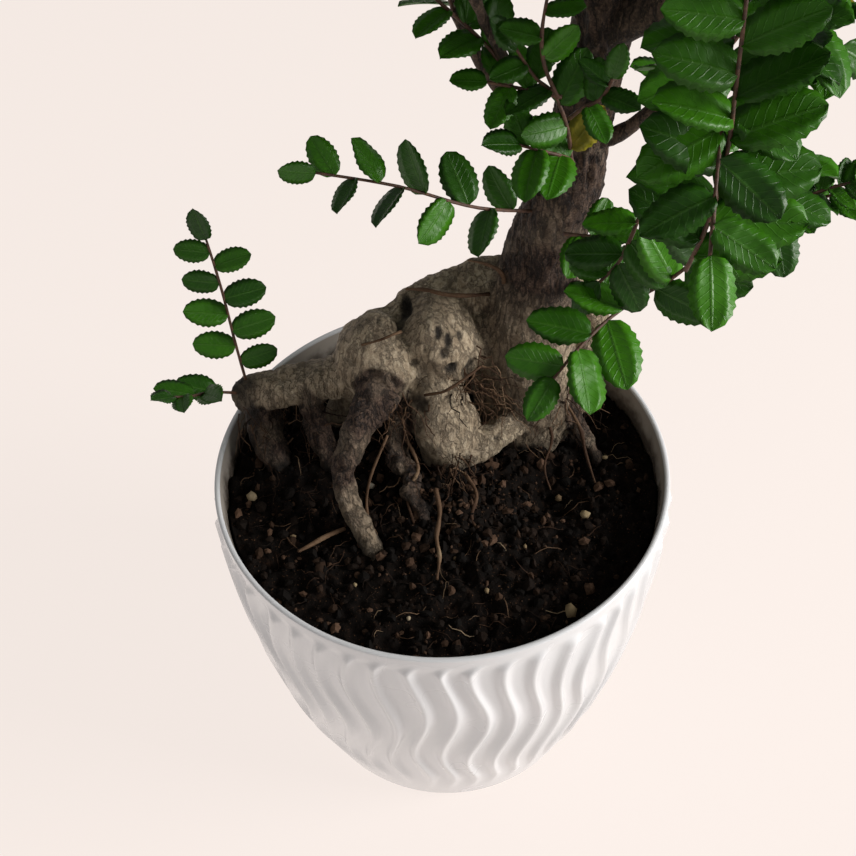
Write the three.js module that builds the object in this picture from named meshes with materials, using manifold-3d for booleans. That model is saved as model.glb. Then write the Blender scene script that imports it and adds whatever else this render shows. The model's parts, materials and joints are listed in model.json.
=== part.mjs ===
// Chinese elm bonsai with bared roots, standing in a white ribbed pot.
// Millimetres, +Z up, the pot's flat base on z = 0 and its axis on the Z axis.
import * as THREE from 'three';
import { mergeVertices } from 'three/addons/utils/BufferGeometryUtils.js';
import Module from 'manifold-3d';

const wasm = await Module();
wasm.setup();

// Pot
const rimRadius = 80;
const potHeight = 150;
const footShare = 0.725;
const footRounding = 8;
const wallThickness = 2.8;
const rimThickness = 1.9;
const floorThickness = 6;
const floorRounding = 8;
const ribCount = 48;
const ribHeight = 1.2;
const ribSway = 2.4;
const ribWave = 52;
const potLevels = [0, 2.5, 8, 30, 54, 78, 101, 123, 142, potHeight];
const boreLevels = [0, 1.5, 5, 30, 70, 110, 140];
const boreSides = 36;

// Soil
const soilLevel = 139;
const soilGap = 0.5;
const soilRings = 6;

// Tree
const holeGap = 0.35;
const seatGap = 0.35;
const twigRadius = 0.8;
const twigTaper = 0.25;
const twigSides = 4;
const bladeHalfThickness = 0.42;
const leafShape = 0.62;
const woodSeed = 11;

const colours = {
  pot: 0xe9e7e5,
  soil: 0x1d1511,
  wood: 0x6b5a48,
  leaf: 0x1f5a14,
};

// Small repeatable random numbers between 0 and 1
function randomFrom(seed) {
  let state = seed >>> 0;
  return () => {
    state = (state + 0x6d2b79f5) >>> 0;
    let t = Math.imul(state ^ (state >>> 15), 1 | state);
    t = (t + Math.imul(t ^ (t >>> 7), 61 | t)) ^ t;
    return ((t ^ (t >>> 14)) >>> 0) / 4294967296;
  };
}

// Solids to cut and join
function toSolid(geometry) {
  const bare = geometry.clone();
  bare.deleteAttribute('normal');
  bare.deleteAttribute('uv');
  const merged = mergeVertices(bare, 1e-5);
  const mesh = new wasm.Mesh({
    numProp: 3,
    vertProperties: new Float32Array(merged.attributes.position.array),
    triVerts: new Uint32Array(merged.index.array),
  });
  return new wasm.Manifold(mesh);
}

function toGeometry(manifold) {
  const mesh = manifold.getMesh();
  const geometry = new THREE.BufferGeometry();
  geometry.setAttribute('position', new THREE.BufferAttribute(mesh.vertProperties, 3));
  geometry.setIndex(new THREE.BufferAttribute(mesh.triVerts, 1));
  geometry.computeVertexNormals();
  return geometry;
}

function fromLists(positions, triangles) {
  const geometry = new THREE.BufferGeometry();
  geometry.setAttribute('position', new THREE.Float32BufferAttribute(positions, 3));
  geometry.setIndex(triangles);
  return geometry;
}

// Rings of equal length joined into one closed skin, with a middle point at both ends
function skinRings(rings, first, last) {
  const count = rings[0].length;
  const positions = rings.flat().flatMap((p) => [p.x, p.y, p.z]);
  const triangles = [];
  for (let row = 0; row < rings.length - 1; row += 1) {
    for (let i = 0; i < count; i += 1) {
      const j = (i + 1) % count;
      const a = row * count + i;
      const b = row * count + j;
      const c = (row + 1) * count + i;
      const d = (row + 1) * count + j;
      triangles.push(a, b, d, a, d, c);
    }
  }
  const low = rings.length * count;
  const high = low + 1;
  const top = (rings.length - 1) * count;
  positions.push(first.x, first.y, first.z, last.x, last.y, last.z);
  for (let i = 0; i < count; i += 1) {
    const j = (i + 1) % count;
    triangles.push(low, j, i, high, top + i, top + j);
  }
  return fromLists(positions, triangles);
}

// Pot: the side is a parabola from foot to rim, the foot's edge is an arc
function roundedIn(height, radius) {
  return height < radius ? radius - Math.sqrt(radius ** 2 - (radius - height) ** 2) : 0;
}

function outerRadius(z) {
  const rise = 1 - (1 - z / potHeight) ** 2;
  return rimRadius * (footShare + (1 - footShare) * rise) - roundedIn(z, footRounding);
}

function boreRadius(z) {
  const side = outerRadius(Math.max(z, footRounding)) - wallThickness;
  return side - roundedIn(z - floorThickness, floorRounding);
}

function ramp(x, from, to) {
  const t = Math.min(1, Math.max(0, (x - from) / (to - from)));
  return t * t * (3 - 2 * t);
}

// Wavy ribs: crests and valleys take turns, and each crest line sways on its own phase
function makePot() {
  const columns = ribCount * 2;
  const rings = potLevels.map((z) => {
    const ring = [];
    const strength = ramp(z, 12, 50) * (1 - ramp(z, 141, 146));
    for (let i = 0; i < columns; i += 1) {
      const crest = i % 2 === 0 ? 1 : -0.35;
      const turn = (2 * Math.PI * i) / columns;
      const phase = 1.3 * Math.sin(5 * turn) + 0.9 * Math.sin(13 * turn + 1);
      const sway = ribSway * Math.sin((2 * Math.PI * z) / ribWave + phase) * strength;
      const angle = turn + sway / rimRadius;
      const r = outerRadius(z) + ribHeight * crest * strength;
      ring.push(new THREE.Vector3(r * Math.cos(angle), r * Math.sin(angle), z));
    }
    return ring;
  });
  const base = new THREE.Vector3(0, 0, 0);
  const outside = toSolid(skinRings(rings, base, new THREE.Vector3(0, 0, potHeight)));
  const profile = boreLevels.map((h) => [boreRadius(floorThickness + h), floorThickness + h]);
  profile.push([rimRadius - rimThickness, potHeight]);
  profile.push([rimRadius - rimThickness, potHeight + 2]);
  const bore = profile.map(([r, z]) => circleRing(r, z, boreSides));
  const low = new THREE.Vector3(0, 0, floorThickness);
  const high = new THREE.Vector3(0, 0, potHeight + 2);
  return outside.subtract(toSolid(skinRings(bore, low, high)));
}

function circleRing(radius, z, sides) {
  const ring = [];
  for (let i = 0; i < sides; i += 1) {
    const angle = (2 * Math.PI * i) / sides;
    ring.push(new THREE.Vector3(radius * Math.cos(angle), radius * Math.sin(angle), z));
  }
  return ring;
}

// Soil: a heap around the roots, a hollow at the right and low crumbs by a sum of waves
function bump(x, y, cx, cy, width) {
  return Math.exp(-((x - cx) ** 2 + (y - cy) ** 2) / width ** 2);
}

function soilHeight(x, y) {
  const heap = 6 * bump(x, y, -4, -12, 24) + 5 * bump(x, y, -46, 16, 18);
  const back = 3 * bump(x, y, 24, 36, 24);
  const hollow = -7 * bump(x, y, 38, -6, 12) - 4 * bump(x, y, 58, 20, 16);
  const crumbs = 0.9 * Math.sin(x * 0.23 + 1.2 * Math.sin(y * 0.17)) * Math.sin(y * 0.29 + 0.7);
  return soilLevel + heap + back + hollow + crumbs;
}

function makeSoil(hole) {
  const low = floorThickness + soilGap;
  const walls = boreLevels.slice(0, -1).map((h) => {
    const z = floorThickness + h;
    return circleRing(boreRadius(z) - soilGap, Math.max(z, low), boreSides);
  });
  const edge = boreRadius(soilLevel - 8) - soilGap;
  const tops = [];
  for (let k = 0; k < soilRings; k += 1) {
    const r = edge * (1 - k / soilRings);
    const ring = circleRing(r, 0, boreSides).map((p) => {
      return new THREE.Vector3(p.x, p.y, soilHeight(p.x, p.y));
    });
    tops.push(ring);
  }
  const middle = new THREE.Vector3(0, 0, soilHeight(0, 0));
  const body = skinRings([...walls, ...tops], new THREE.Vector3(0, 0, low), middle);
  return toSolid(body).subtract(hole);
}

// Smooth path through hand-set points, each with its radius as the fourth number
function smoothPath(points, steps) {
  const path = [];
  const last = points.length - 1;
  for (let i = 0; i < last; i += 1) {
    const a = points[Math.max(i - 1, 0)];
    const b = points[i];
    const c = points[i + 1];
    const d = points[Math.min(i + 2, last)];
    const count = i === last - 1 ? steps + 1 : steps;
    for (let k = 0; k < count; k += 1) {
      const t = k / steps;
      path.push(b.map((_, n) => {
        const slope = c[n] - a[n];
        const square = 2 * a[n] - 5 * b[n] + 4 * c[n] - d[n];
        const cube = 3 * (b[n] - c[n]) + d[n] - a[n];
        return b[n] + 0.5 * t * (slope + t * (square + t * cube));
      }));
    }
  }
  return path;
}

function vector(point) {
  return new THREE.Vector3(point[0], point[1], point[2]);
}

// Round limb along a path, a little lobed so that it looks grown
function makeLimb(path, sides, extra = 0, lobes = 0) {
  const rings = [];
  let side = new THREE.Vector3(0, 1, 0);
  for (let k = 0; k < path.length; k += 1) {
    const before = vector(path[Math.max(k - 1, 0)]);
    const after = vector(path[Math.min(k + 1, path.length - 1)]);
    const along = after.sub(before).normalize();
    if (k === 0 && Math.abs(along.y) > 0.8) {
      side = new THREE.Vector3(1, 0, 0);
    }
    side = side.clone().addScaledVector(along, -side.dot(along)).normalize();
    const across = new THREE.Vector3().crossVectors(along, side);
    const centre = vector(path[k]);
    const ring = [];
    for (let i = 0; i < sides; i += 1) {
      const angle = (2 * Math.PI * i) / sides;
      const lobe = 1 + lobes * Math.sin(3 * angle + k * 0.7) + lobes * Math.sin(2 * angle - k * 0.4);
      const r = path[k][3] * lobe + extra;
      ring.push(centre.clone()
        .addScaledVector(side, r * Math.cos(angle))
        .addScaledVector(across, r * Math.sin(angle)));
    }
    rings.push(ring);
  }
  const start = vector(path[0]).addScaledVector(endDirection(path, 0), -extra);
  const end = vector(path[path.length - 1]).addScaledVector(endDirection(path, 1), extra);
  return toSolid(skinRings(rings, start, end));
}

function endDirection(path, end) {
  const last = path.length - 1;
  const from = end ? path[last - 1] : path[0];
  const to = end ? path[last] : path[1];
  return vector(to).sub(vector(from)).normalize();
}

// Knobbly lump of wood: a sphere scaled on each axis and dented by slow waves
function makeLump([x, y, z], [rx, ry, rz], extra) {
  const ball = new THREE.IcosahedronGeometry(1, 3);
  const position = ball.attributes.position;
  for (let i = 0; i < position.count; i += 1) {
    const p = new THREE.Vector3().fromBufferAttribute(position, i).normalize();
    const dent = 1 + 0.05 * Math.sin(4 * p.x + 3 * p.z + x) + 0.04 * Math.sin(5 * p.y - 4 * p.z + y);
    const size = new THREE.Vector3(rx * dent + extra, ry * dent + extra, rz * dent + extra);
    p.multiply(size);
    position.setXYZ(i, p.x + x, p.y + y, p.z + z);
  }
  return toSolid(ball);
}

const lumps = [
  { at: [-20, 19, 183], size: [15.5, 14.5, 18] },
  { at: [-1, 21, 187], size: [14.5, 14, 20] },
  { at: [-10, 24, 177], size: [17, 14, 14] },
];

const trunk = [
  [31, 30, 128, 17], [31, 30, 150, 18.5], [31, 30, 168, 17.5], [31, 30, 184, 16.3],
  [33, 29, 203, 13.6], [35, 28, 221, 12], [38, 25, 242, 10.2], [42, 22, 263, 8.8],
  [43, 17, 286, 8.1], [44, 12, 307, 7.6], [43, 9, 323, 6.2], [39, 8, 339, 5],
  [35, 9, 352, 3.9], [32, 11, 363, 2.9], [31, 13, 372, 2],
];

// Bared roots and the old limb that was sawn off at the left
const roots = [
  { name: 'ridge', line: [[-16, 26, 194, 6], [-4, 34, 202, 8], [12, 37, 205, 8.5], [30, 32, 208, 9]] },
  { name: 'sawnLimb', line: [[-24, 18, 178, 9], [-40, 20, 173, 8], [-54, 21, 168, 7.6],
    [-64, 23, 164, 7.8], [-71, 24, 162, 7.4]] },
  { name: 'limbRoot', line: [[-63, 20, 160, 6], [-63, 15, 150, 6], [-60, 10, 142, 5.4], [-54, 6, 132, 4.6]] },
  { name: 'limbRootThin', line: [[-45, 17, 172, 4], [-44, 12, 158, 3.8], [-41, 8, 146, 3.6], [-38, 6, 134, 3]] },
  { name: 'front', line: [[-20, 6, 182, 8], [-25, -1, 177, 6.4], [-30, -8, 170, 5], [-33, -12, 162, 4.2],
    [-32, -18, 153, 4], [-27, -26, 145, 3.8], [-21, -34, 134, 3.4]] },
  { name: 'twisted', line: [[-9, 17, 172, 5], [-15, 6, 157, 3.9], [-13, -3, 150, 3.4], [-9, -12, 147, 3],
    [-6, -20, 136, 2.4]] },
  { name: 'knuckle', line: [[-2, 16, 180, 8], [1, 11, 168, 9.5], [4, 8, 154, 11], [5, 7, 140, 11], [5, 6, 128, 9]] },
  { name: 'elbow', line: [[8, 5, 148, 5.6], [18, 9, 151, 5.4], [27, 16, 153, 5.2], [33, 26, 154, 6]] },
  { name: 'bulbBack', line: [[-18, 28, 178, 9], [-24, 40, 160, 7], [-28, 48, 146, 6], [-29, 52, 130, 5]] },
  { name: 'bulbLeft', line: [[-24, 22, 174, 8], [-32, 26, 158, 6], [-37, 28, 145, 5], [-38, 28, 132, 4.4]] },
  { name: 'archBack', line: [[36, 32, 198, 8], [50, 40, 194, 6.5], [56, 43, 181, 6], [54, 43, 166, 5.2],
    [50, 41, 150, 4.6], [46, 39, 132, 4.2]] },
  { name: 'trunkBack', line: [[26, 38, 166, 9], [18, 50, 150, 6.5], [10, 58, 138, 5.4], [6, 61, 128, 4.6]] },
  { name: 'trunkRight', line: [[40, 26, 160, 8], [50, 16, 147, 5], [58, 8, 138, 4.2], [62, 4, 128, 3.6]] },
  { name: 'paleThin', line: [[46, 26, 166, 3.4], [53, 27, 156, 2.7], [50, 23, 149, 2.4], [42, 16, 141, 2.2],
    [38, 12, 132, 2]] },
];

// Woody branches; the leafy sprays sit on them
const branches = {
  left: [[34, 20, 268, 3], [27, 14, 277, 2.1], [20, 12, 288, 1.8], [13, 10, 300, 1.5], [6, 7, 316, 1.2]],
  leftFork: [[20, 12, 288, 1.8], [19, 5, 302, 1.6], [14, 0, 316, 1.4], [8, -2, 329, 1.2]],
  rightStub: [[44, 18, 268, 3], [52, 13, 275, 2.2], [59, 7, 286, 1.9], [66, 2, 297, 1.6], [73, -1, 307, 1.3]],
  rightLow: [[38, 24, 208, 3], [47, 14, 217, 2], [51, -2, 229, 1.7], [54, -18, 242, 1.5], [56, -24, 247, 1.2]],
  limbRight: [[44, 12, 306, 6], [56, 1, 319, 4.8], [70, -10, 328, 4], [86, -20, 335, 3.1],
    [101, -27, 343, 2.2], [112, -31, 350, 1.5]],
  limbLeft: [[42, 9, 326, 4], [28, 4, 339, 3], [12, 2, 348, 2.4], [-4, 2, 354, 1.9], [-17, 4, 358, 1.4]],
  limbBack: [[43, 14, 298, 4], [42, 30, 311, 3.2], [38, 48, 321, 2.5], [34, 66, 329, 1.9], [31, 80, 335, 1.4]],
  limbBackRight: [[44, 13, 312, 4], [58, 28, 323, 2.9], [72, 44, 331, 2.2], [85, 57, 337, 1.5]],
  limbBackLeft: [[40, 10, 332, 3.5], [24, 26, 341, 2.5], [8, 42, 347, 1.9], [-5, 55, 351, 1.4]],
  limbFront: [[41, 7, 334, 3.5], [38, -10, 345, 2.5], [34, -28, 353, 1.9], [30, -42, 359, 1.4]],
  limbTop: [[37, 9, 345, 3], [50, 5, 356, 2.2], [63, 1, 363, 1.7], [74, -2, 368, 1.3]],
  limbLowBack: [[41, 25, 258, 3.4], [45, 42, 274, 2.3], [51, 58, 284, 1.8], [57, 73, 290, 1.3]],
};

function makeWood(extra) {
  let wood = makeLimb(smoothPath(trunk, 2), 10, extra, 0.035);
  for (const { at, size } of lumps) {
    wood = wood.add(makeLump(at, size, extra));
  }
  for (const { line } of roots) {
    wood = wood.add(makeLimb(smoothPath(line, 2), 6, extra, 0.05));
  }
  for (const line of Object.values(branches)) {
    wood = wood.add(makeLimb(smoothPath(line, 1), 5, extra));
  }
  return wood;
}

// Outline of one side of a leaf: share of the length, share of the half width.
// The teeth point forward on the outer half.
const margin = [[0.07, 0.13], [0.22, 0.72], [0.45, 1], [0.49, 0.84], [0.72, 0.86], [0.76, 0.64]];
const ribs = [0.1, 0.52];

// Lens-like blade with its base on the twig's middle line, folded up a little and drooping
function makeLeaf({ at, along, normal, length, width, fold, droop }) {
  const side = new THREE.Vector3().crossVectors(normal, along).normalize();
  const place = (share, offset, lift) => {
    const p = at.clone().addScaledVector(along, share * length);
    p.addScaledVector(side, offset);
    return p.addScaledVector(normal, lift + fold * Math.abs(offset) - droop * length * share ** 2);
  };
  const points = [place(0, 0, 0), place(1, 0, 0)];
  for (const sign of [1, -1]) {
    margin.forEach(([share, half]) => points.push(place(share, (sign * half * width) / 2, 0)));
  }
  for (const lift of [bladeHalfThickness, -bladeHalfThickness]) {
    ribs.forEach((share) => points.push(place(share, 0, lift)));
  }
  const positions = points.flatMap((p) => [p.x, p.y, p.z]);
  const triangles = [];
  for (const face of [0, 1]) {
    for (const hand of [0, 1]) {
      const s = 2 + hand * margin.length;
      const r = 2 + 2 * margin.length + face * ribs.length;
      const fan = [
        [0, s, r], [s, s + 1, r], [s + 1, r + 1, r], [s + 1, s + 2, r + 1], [s + 2, s + 3, r + 1],
        [s + 3, s + 4, r + 1], [s + 4, s + 5, r + 1], [s + 5, 1, r + 1],
      ];
      fan.forEach(([a, b, c]) => triangles.push(...(face === hand ? [a, c, b] : [a, b, c])));
    }
  }
  return toSolid(fromLists(positions, triangles));
}

// Places already taken, as small balls, so that nothing grows through anything else
const taken = [];

function takePath(path, owner) {
  path.forEach((p) => taken.push({ at: vector(p), r: p[3], owner }));
}

function isFree(balls, owner, own) {
  return balls.every((ball) => taken.every((other) => {
    const share = other.owner === owner ? own : 1;
    const reach = (ball.r + other.r) * share + (other.owner === owner ? 0 : 0.4);
    return ball.at.distanceTo(other.at) > reach;
  }));
}

function pathPoint(path, share) {
  const place = Math.min(share, 0.9999) * (path.length - 1);
  const k = Math.floor(place);
  const t = place - k;
  return path[k].map((value, n) => value + (path[k + 1][n] - value) * t);
}

// Spray: a bending twig with leaves left and right in turn, and one at its tip
function makeSpray({ name, line, leaves, size, from, up, seed, open = 58, steps = 2 }) {
  const random = randomFrom(seed);
  const path = smoothPath(line.map(([x, y, z], k) => {
    return [x, y, z, twigRadius * (1 - (twigTaper * k) / (line.length - 1))];
  }), steps);
  let solid = makeLimb(path, twigSides);
  const upward = vector(up).normalize();
  let grown = 0;
  for (let i = 0; i <= leaves; i += 1) {
    const share = from + ((1 - from) * i) / leaves;
    const at = pathPoint(path, share);
    const ahead = vector(pathPoint(path, Math.min(share + 0.05, 1)));
    const behind = vector(pathPoint(path, Math.max(share - 0.05, 0)));
    const along = ahead.sub(behind).normalize();
    const side = new THREE.Vector3().crossVectors(upward, along).normalize();
    const hand = i % 2 ? 1 : -1;
    const spread = i === leaves ? 0.12 * hand : THREE.MathUtils.degToRad(open + 14 * (random() - 0.5));
    const direction = along.clone().multiplyScalar(Math.cos(spread));
    direction.addScaledVector(side, hand * Math.sin(spread));
    direction.addScaledVector(upward, 0.3 * (random() - 0.4)).normalize();
    const normal = upward.clone().addScaledVector(side, 0.6 * (random() - 0.5));
    normal.addScaledVector(direction, -normal.dot(direction)).normalize();
    const length = size * (0.8 + 0.3 * Math.sin(Math.PI * Math.min(share + 0.1, 1)) + 0.14 * random());
    const leaf = {
      at: vector(at), along: direction, normal, length, width: length * leafShape,
      fold: 0.1 + 0.12 * random(), droop: 0.1 * random(),
    };
    const balls = [0.36, 0.62, 0.88].map((t) => {
      return { at: vector(at).addScaledVector(direction, t * length), r: 0.42 * leaf.width, owner: name };
    });
    if (isFree(balls, name, 0.55)) {
      taken.push(...balls);
      solid = solid.add(makeLeaf(leaf));
      grown += 1;
    }
  }
  return grown ? solid : null;
}

// Sprays that the eye meets first, each along its own hand-set line
const shoots = [
  { name: 'sprout_stump', line: [[-68, 23, 163], [-69, 22, 188], [-70, 23, 212], [-72, 25, 232]],
    leaves: 8, size: 12.5, from: 0.24, up: [0.1, -0.8, 0.6], open: 76, seed: 3 },
  { name: 'sprout_low', line: [[-69, 23, 163], [-77, 9, 179], [-81, 0, 187], [-86, -5, 192]],
    leaves: 4, size: 12, from: 0.3, up: [-0.2, -0.3, 0.9], seed: 9 },
  { name: 'spray_left', line: [[36, 24, 240], [13, 11, 252], [-10, 5, 265], [-32, 0, 274]],
    leaves: 9, size: 13.5, from: 0.2, up: [0, -0.6, 0.8], seed: 21 },
  { name: 'spray_front', line: [[41, 21, 258], [37, 0, 276], [29, -6, 283], [22, -10, 288]],
    leaves: 5, size: 14.5, from: 0.35, up: [-0.2, -0.6, 0.8], seed: 31 },
  { name: 'spray_right', line: [[37, 26, 228], [62, 17, 236], [80, 8, 246], [98, -3, 260], [114, -10, 272]],
    leaves: 12, size: 10.5, from: 0.3, up: [0, -0.5, 0.85], seed: 41 },
  { name: 'spray_low_left', line: [[56, -23, 246.6], [46, -34, 249], [37, -43, 247], [30, -50, 243]],
    leaves: 5, size: 16, from: 0.2, up: [0, -0.5, 0.85], seed: 51 },
  { name: 'spray_low_right', line: [[56, -23, 246.6], [62, -29, 258], [66, -35, 270], [70, -42, 284]],
    leaves: 5, size: 15.5, from: 0.18, up: [0, -0.8, 0.6], seed: 61 },
  { name: 'spray_near', line: [[71, -11, 328], [64, -36, 329], [59, -58, 322], [55, -80, 309]],
    leaves: 8, size: 17.5, from: 0.28, up: [0, -0.5, 0.85], seed: 71 },
  { name: 'spray_trunk', line: [[37, 25, 232], [48, 4, 243], [53, -6, 248]],
    leaves: 3, size: 12, from: 0.3, up: [0, -0.7, 0.7], seed: 81 },
];

// Rule for the crown: on each branch one spray goes on from the tip and the
// others leave its sides in turn
const crown = [
  { branch: 'left', sides: [0.7], leaves: 4, size: 13 },
  { branch: 'leftFork', sides: [0.6], leaves: 4, size: 13 },
  { branch: 'rightStub', sides: [0.66], leaves: 4, size: 12 },
  { branch: 'limbRight', sides: [0.44, 0.62, 0.8], leaves: 4, size: 14 },
  { branch: 'limbLeft', sides: [0.5, 0.8], leaves: 4, size: 13 },
  { branch: 'limbBack', sides: [0.5, 0.8], leaves: 4, size: 13 },
  { branch: 'limbBackRight', sides: [0.6], leaves: 4, size: 13 },
  { branch: 'limbBackLeft', sides: [0.6], leaves: 4, size: 13 },
  { branch: 'limbFront', sides: [0.6], leaves: 4, size: 13 },
  { branch: 'limbTop', sides: [0.65], leaves: 4, size: 13 },
  { branch: 'limbLowBack', sides: [0.6], leaves: 4, size: 13 },
];
const sprayLength = 34;
const sideAngle = 62;

function crownSpray(name, path, share, hand, rule, seed) {
  const random = randomFrom(seed);
  const root = pathPoint(path, share);
  const along = vector(pathPoint(path, Math.min(share + 0.08, 1)));
  along.sub(vector(pathPoint(path, Math.max(share - 0.08, 0)))).normalize();
  const upward = new THREE.Vector3(0, 0, 1);
  const side = new THREE.Vector3().crossVectors(upward, along).normalize();
  const angle = hand === 0 ? 0 : THREE.MathUtils.degToRad(sideAngle);
  const direction = along.clone().multiplyScalar(Math.cos(angle));
  direction.addScaledVector(side, hand * Math.sin(angle));
  direction.z += 0.1 + 0.25 * random();
  direction.normalize();
  const stand = hand === 0 ? seatGap : root[3] / Math.sin(angle) + seatGap + twigRadius * 0.6;
  const length = sprayLength * (0.85 + 0.3 * random());
  const line = [0, 1, 2, 3].map((k) => {
    const p = vector(root).addScaledVector(direction, stand + (length * k) / 3);
    p.addScaledVector(along, hand === 0 ? 0 : 0.16 * length * (k / 3) ** 2);
    p.z += 0.1 * length * Math.sin((Math.PI * k) / 3);
    return [p.x, p.y, p.z];
  });
  return { name, line, leaves: rule.leaves, size: rule.size, from: 0.25, up: [0, 0, 1], seed, steps: 1 };
}

const bonsai = new THREE.Group();

function addPiece(name, manifold, colour, roughness) {
  const material = new THREE.MeshStandardMaterial({ color: colour, roughness, metalness: 0 });
  const mesh = new THREE.Mesh(toGeometry(manifold), material);
  mesh.name = name;
  bonsai.add(mesh);
}

addPiece('pot', makePot(), colours.pot, 0.35);
const clearance = makeWood(holeGap);
addPiece('soil', makeSoil(clearance), colours.soil, 0.95);
addPiece('tree', makeWood(0), colours.wood, 0.8);

takePath(smoothPath(trunk, 4), 'tree');
roots.forEach(({ line }) => takePath(smoothPath(line, 4), 'tree'));
Object.values(branches).forEach((line) => takePath(smoothPath(line, 6), 'tree'));
lumps.forEach(({ at, size }) => taken.push({ at: vector(at), r: size[0] + 1, owner: 'tree' }));

const sprays = [...shoots];
crown.forEach((rule, n) => {
  const path = smoothPath(branches[rule.branch], 4);
  sprays.push(crownSpray(`spray_${rule.branch}_tip`, path, 1, 0, rule, woodSeed + 100 * n));
  rule.sides.forEach((share, k) => {
    const hand = k % 2 ? 1 : -1;
    const name = `spray_${rule.branch}_${k + 1}`;
    sprays.push(crownSpray(name, path, share, hand, rule, woodSeed + 100 * n + k + 1));
  });
});
const treeTop = smoothPath(trunk, 4);
sprays.push(crownSpray('spray_top_tip', treeTop, 1, 0, { leaves: 4, size: 12 }, 7));
sprays.forEach(({ name, line }) => takePath(smoothPath(line.map((p) => [...p, twigRadius]), 3), name));

for (const spray of sprays) {
  const solid = makeSpray(spray);
  if (solid) {
    addPiece(spray.name, solid.subtract(clearance), colours.leaf, 0.45);
  }
}

export default bonsai;
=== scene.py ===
import bpy
import json
import math
import numpy as np
from functools import partial
from mathutils import Matrix, Vector

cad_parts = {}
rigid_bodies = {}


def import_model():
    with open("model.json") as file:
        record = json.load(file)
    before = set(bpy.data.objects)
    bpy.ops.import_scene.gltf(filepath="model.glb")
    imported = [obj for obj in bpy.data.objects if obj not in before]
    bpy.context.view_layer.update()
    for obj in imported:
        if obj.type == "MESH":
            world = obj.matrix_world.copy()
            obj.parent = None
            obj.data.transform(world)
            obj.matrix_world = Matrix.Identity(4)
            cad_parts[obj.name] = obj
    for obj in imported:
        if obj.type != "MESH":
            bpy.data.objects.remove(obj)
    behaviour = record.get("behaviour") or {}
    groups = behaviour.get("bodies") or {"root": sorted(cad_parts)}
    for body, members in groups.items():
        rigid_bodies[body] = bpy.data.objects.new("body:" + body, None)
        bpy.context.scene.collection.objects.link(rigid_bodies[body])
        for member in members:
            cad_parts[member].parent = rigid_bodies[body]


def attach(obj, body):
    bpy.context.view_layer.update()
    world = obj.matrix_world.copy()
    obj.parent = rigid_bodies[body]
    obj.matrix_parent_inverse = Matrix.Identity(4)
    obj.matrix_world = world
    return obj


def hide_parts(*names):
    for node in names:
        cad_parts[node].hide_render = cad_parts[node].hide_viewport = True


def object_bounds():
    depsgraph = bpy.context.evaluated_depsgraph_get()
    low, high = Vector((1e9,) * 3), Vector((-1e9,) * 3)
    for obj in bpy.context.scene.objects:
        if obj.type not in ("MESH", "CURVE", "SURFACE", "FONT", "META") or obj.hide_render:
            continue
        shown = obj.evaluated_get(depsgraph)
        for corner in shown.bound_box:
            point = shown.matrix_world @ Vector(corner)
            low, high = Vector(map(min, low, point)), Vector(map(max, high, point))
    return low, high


for item in list(bpy.data.objects):
    bpy.data.objects.remove(item)
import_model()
cadLow, cadHigh = [[float(v) for v in corner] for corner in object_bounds()]
print("frame loaded")

mm = 0.001
low32 = 0xffffffff  # keeps a whole number to 32 bits


# small helpers

def randomFrom(seed):
    # 32-bit counter stepped by a fixed odd number, mixed by shifts and products, over 2^32
    state = seed & low32

    def draw():
        nonlocal state
        state = (state + 0x6d2b79f5) & low32
        t = ((state ^ (state >> 15)) * (1 | state)) & low32
        t = ((t + (((t ^ (t >> 7)) * (61 | t)) & low32)) & low32) ^ t
        return ((t ^ (t >> 14)) & low32) / (low32 + 1)
    return draw


def cellNoise(cells, seed):
    # integer mix of the three cell numbers, scaled to -1..1
    c = cells.astype(np.int64)
    h = c[..., 0] * 374761393 + c[..., 1] * 668265263 + c[..., 2] * 2147483647 + seed * 974634777
    h = h & low32
    h = ((h ^ (h >> 13)) * 1274126177) & low32
    h = (h ^ (h >> 16)) & low32
    return h / 2147483648.0 - 1.0


def noise(points, size, seed=0):
    # corner values of each cell blended by 3t^2 - 2t^3 along x, y and z
    p = points / size
    base = np.floor(p)
    t = p - base
    t = t * t * (3 - 2 * t)
    total = 0
    for corner in np.ndindex(2, 2, 2):
        weight = np.prod(np.abs(1 - np.array(corner) - t), axis=-1)
        total = total + weight * cellNoise(base + np.array(corner), seed)
    return total


def fractal(points, size, octaves=3, seed=0):
    # sum of noise(p, size / 2^k) / 2^k
    return sum(noise(points, size / 2 ** k, seed + k) / 2 ** k for k in range(octaves))


def ramp(x, start, end):
    # 3t^2 - 2t^3 with t = (x - start) / (end - start) held in 0..1
    t = np.clip((x - start) / (end - start), 0, 1)
    return t * t * (3 - 2 * t)


def unit(v):
    # v / |v|
    return v / np.maximum(np.linalg.norm(v, axis=-1, keepdims=True), 1e-12)


def turned(radius, angle, z):
    # radius * cos a, radius * sin a, z
    x = radius * np.cos(angle)
    return np.stack([x, radius * np.sin(angle), np.broadcast_to(z, x.shape)], axis=-1)


def ringsAround(centre, radius, side, across, sides):
    # centre + radius * (side * cos a + across * sin a)
    angle = 2 * np.pi * np.arange(sides)[:, None] / sides
    spoke = side[..., None, :] * np.cos(angle) + across[..., None, :] * np.sin(angle)
    return centre[..., None, :] + radius[..., None] * spoke


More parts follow.
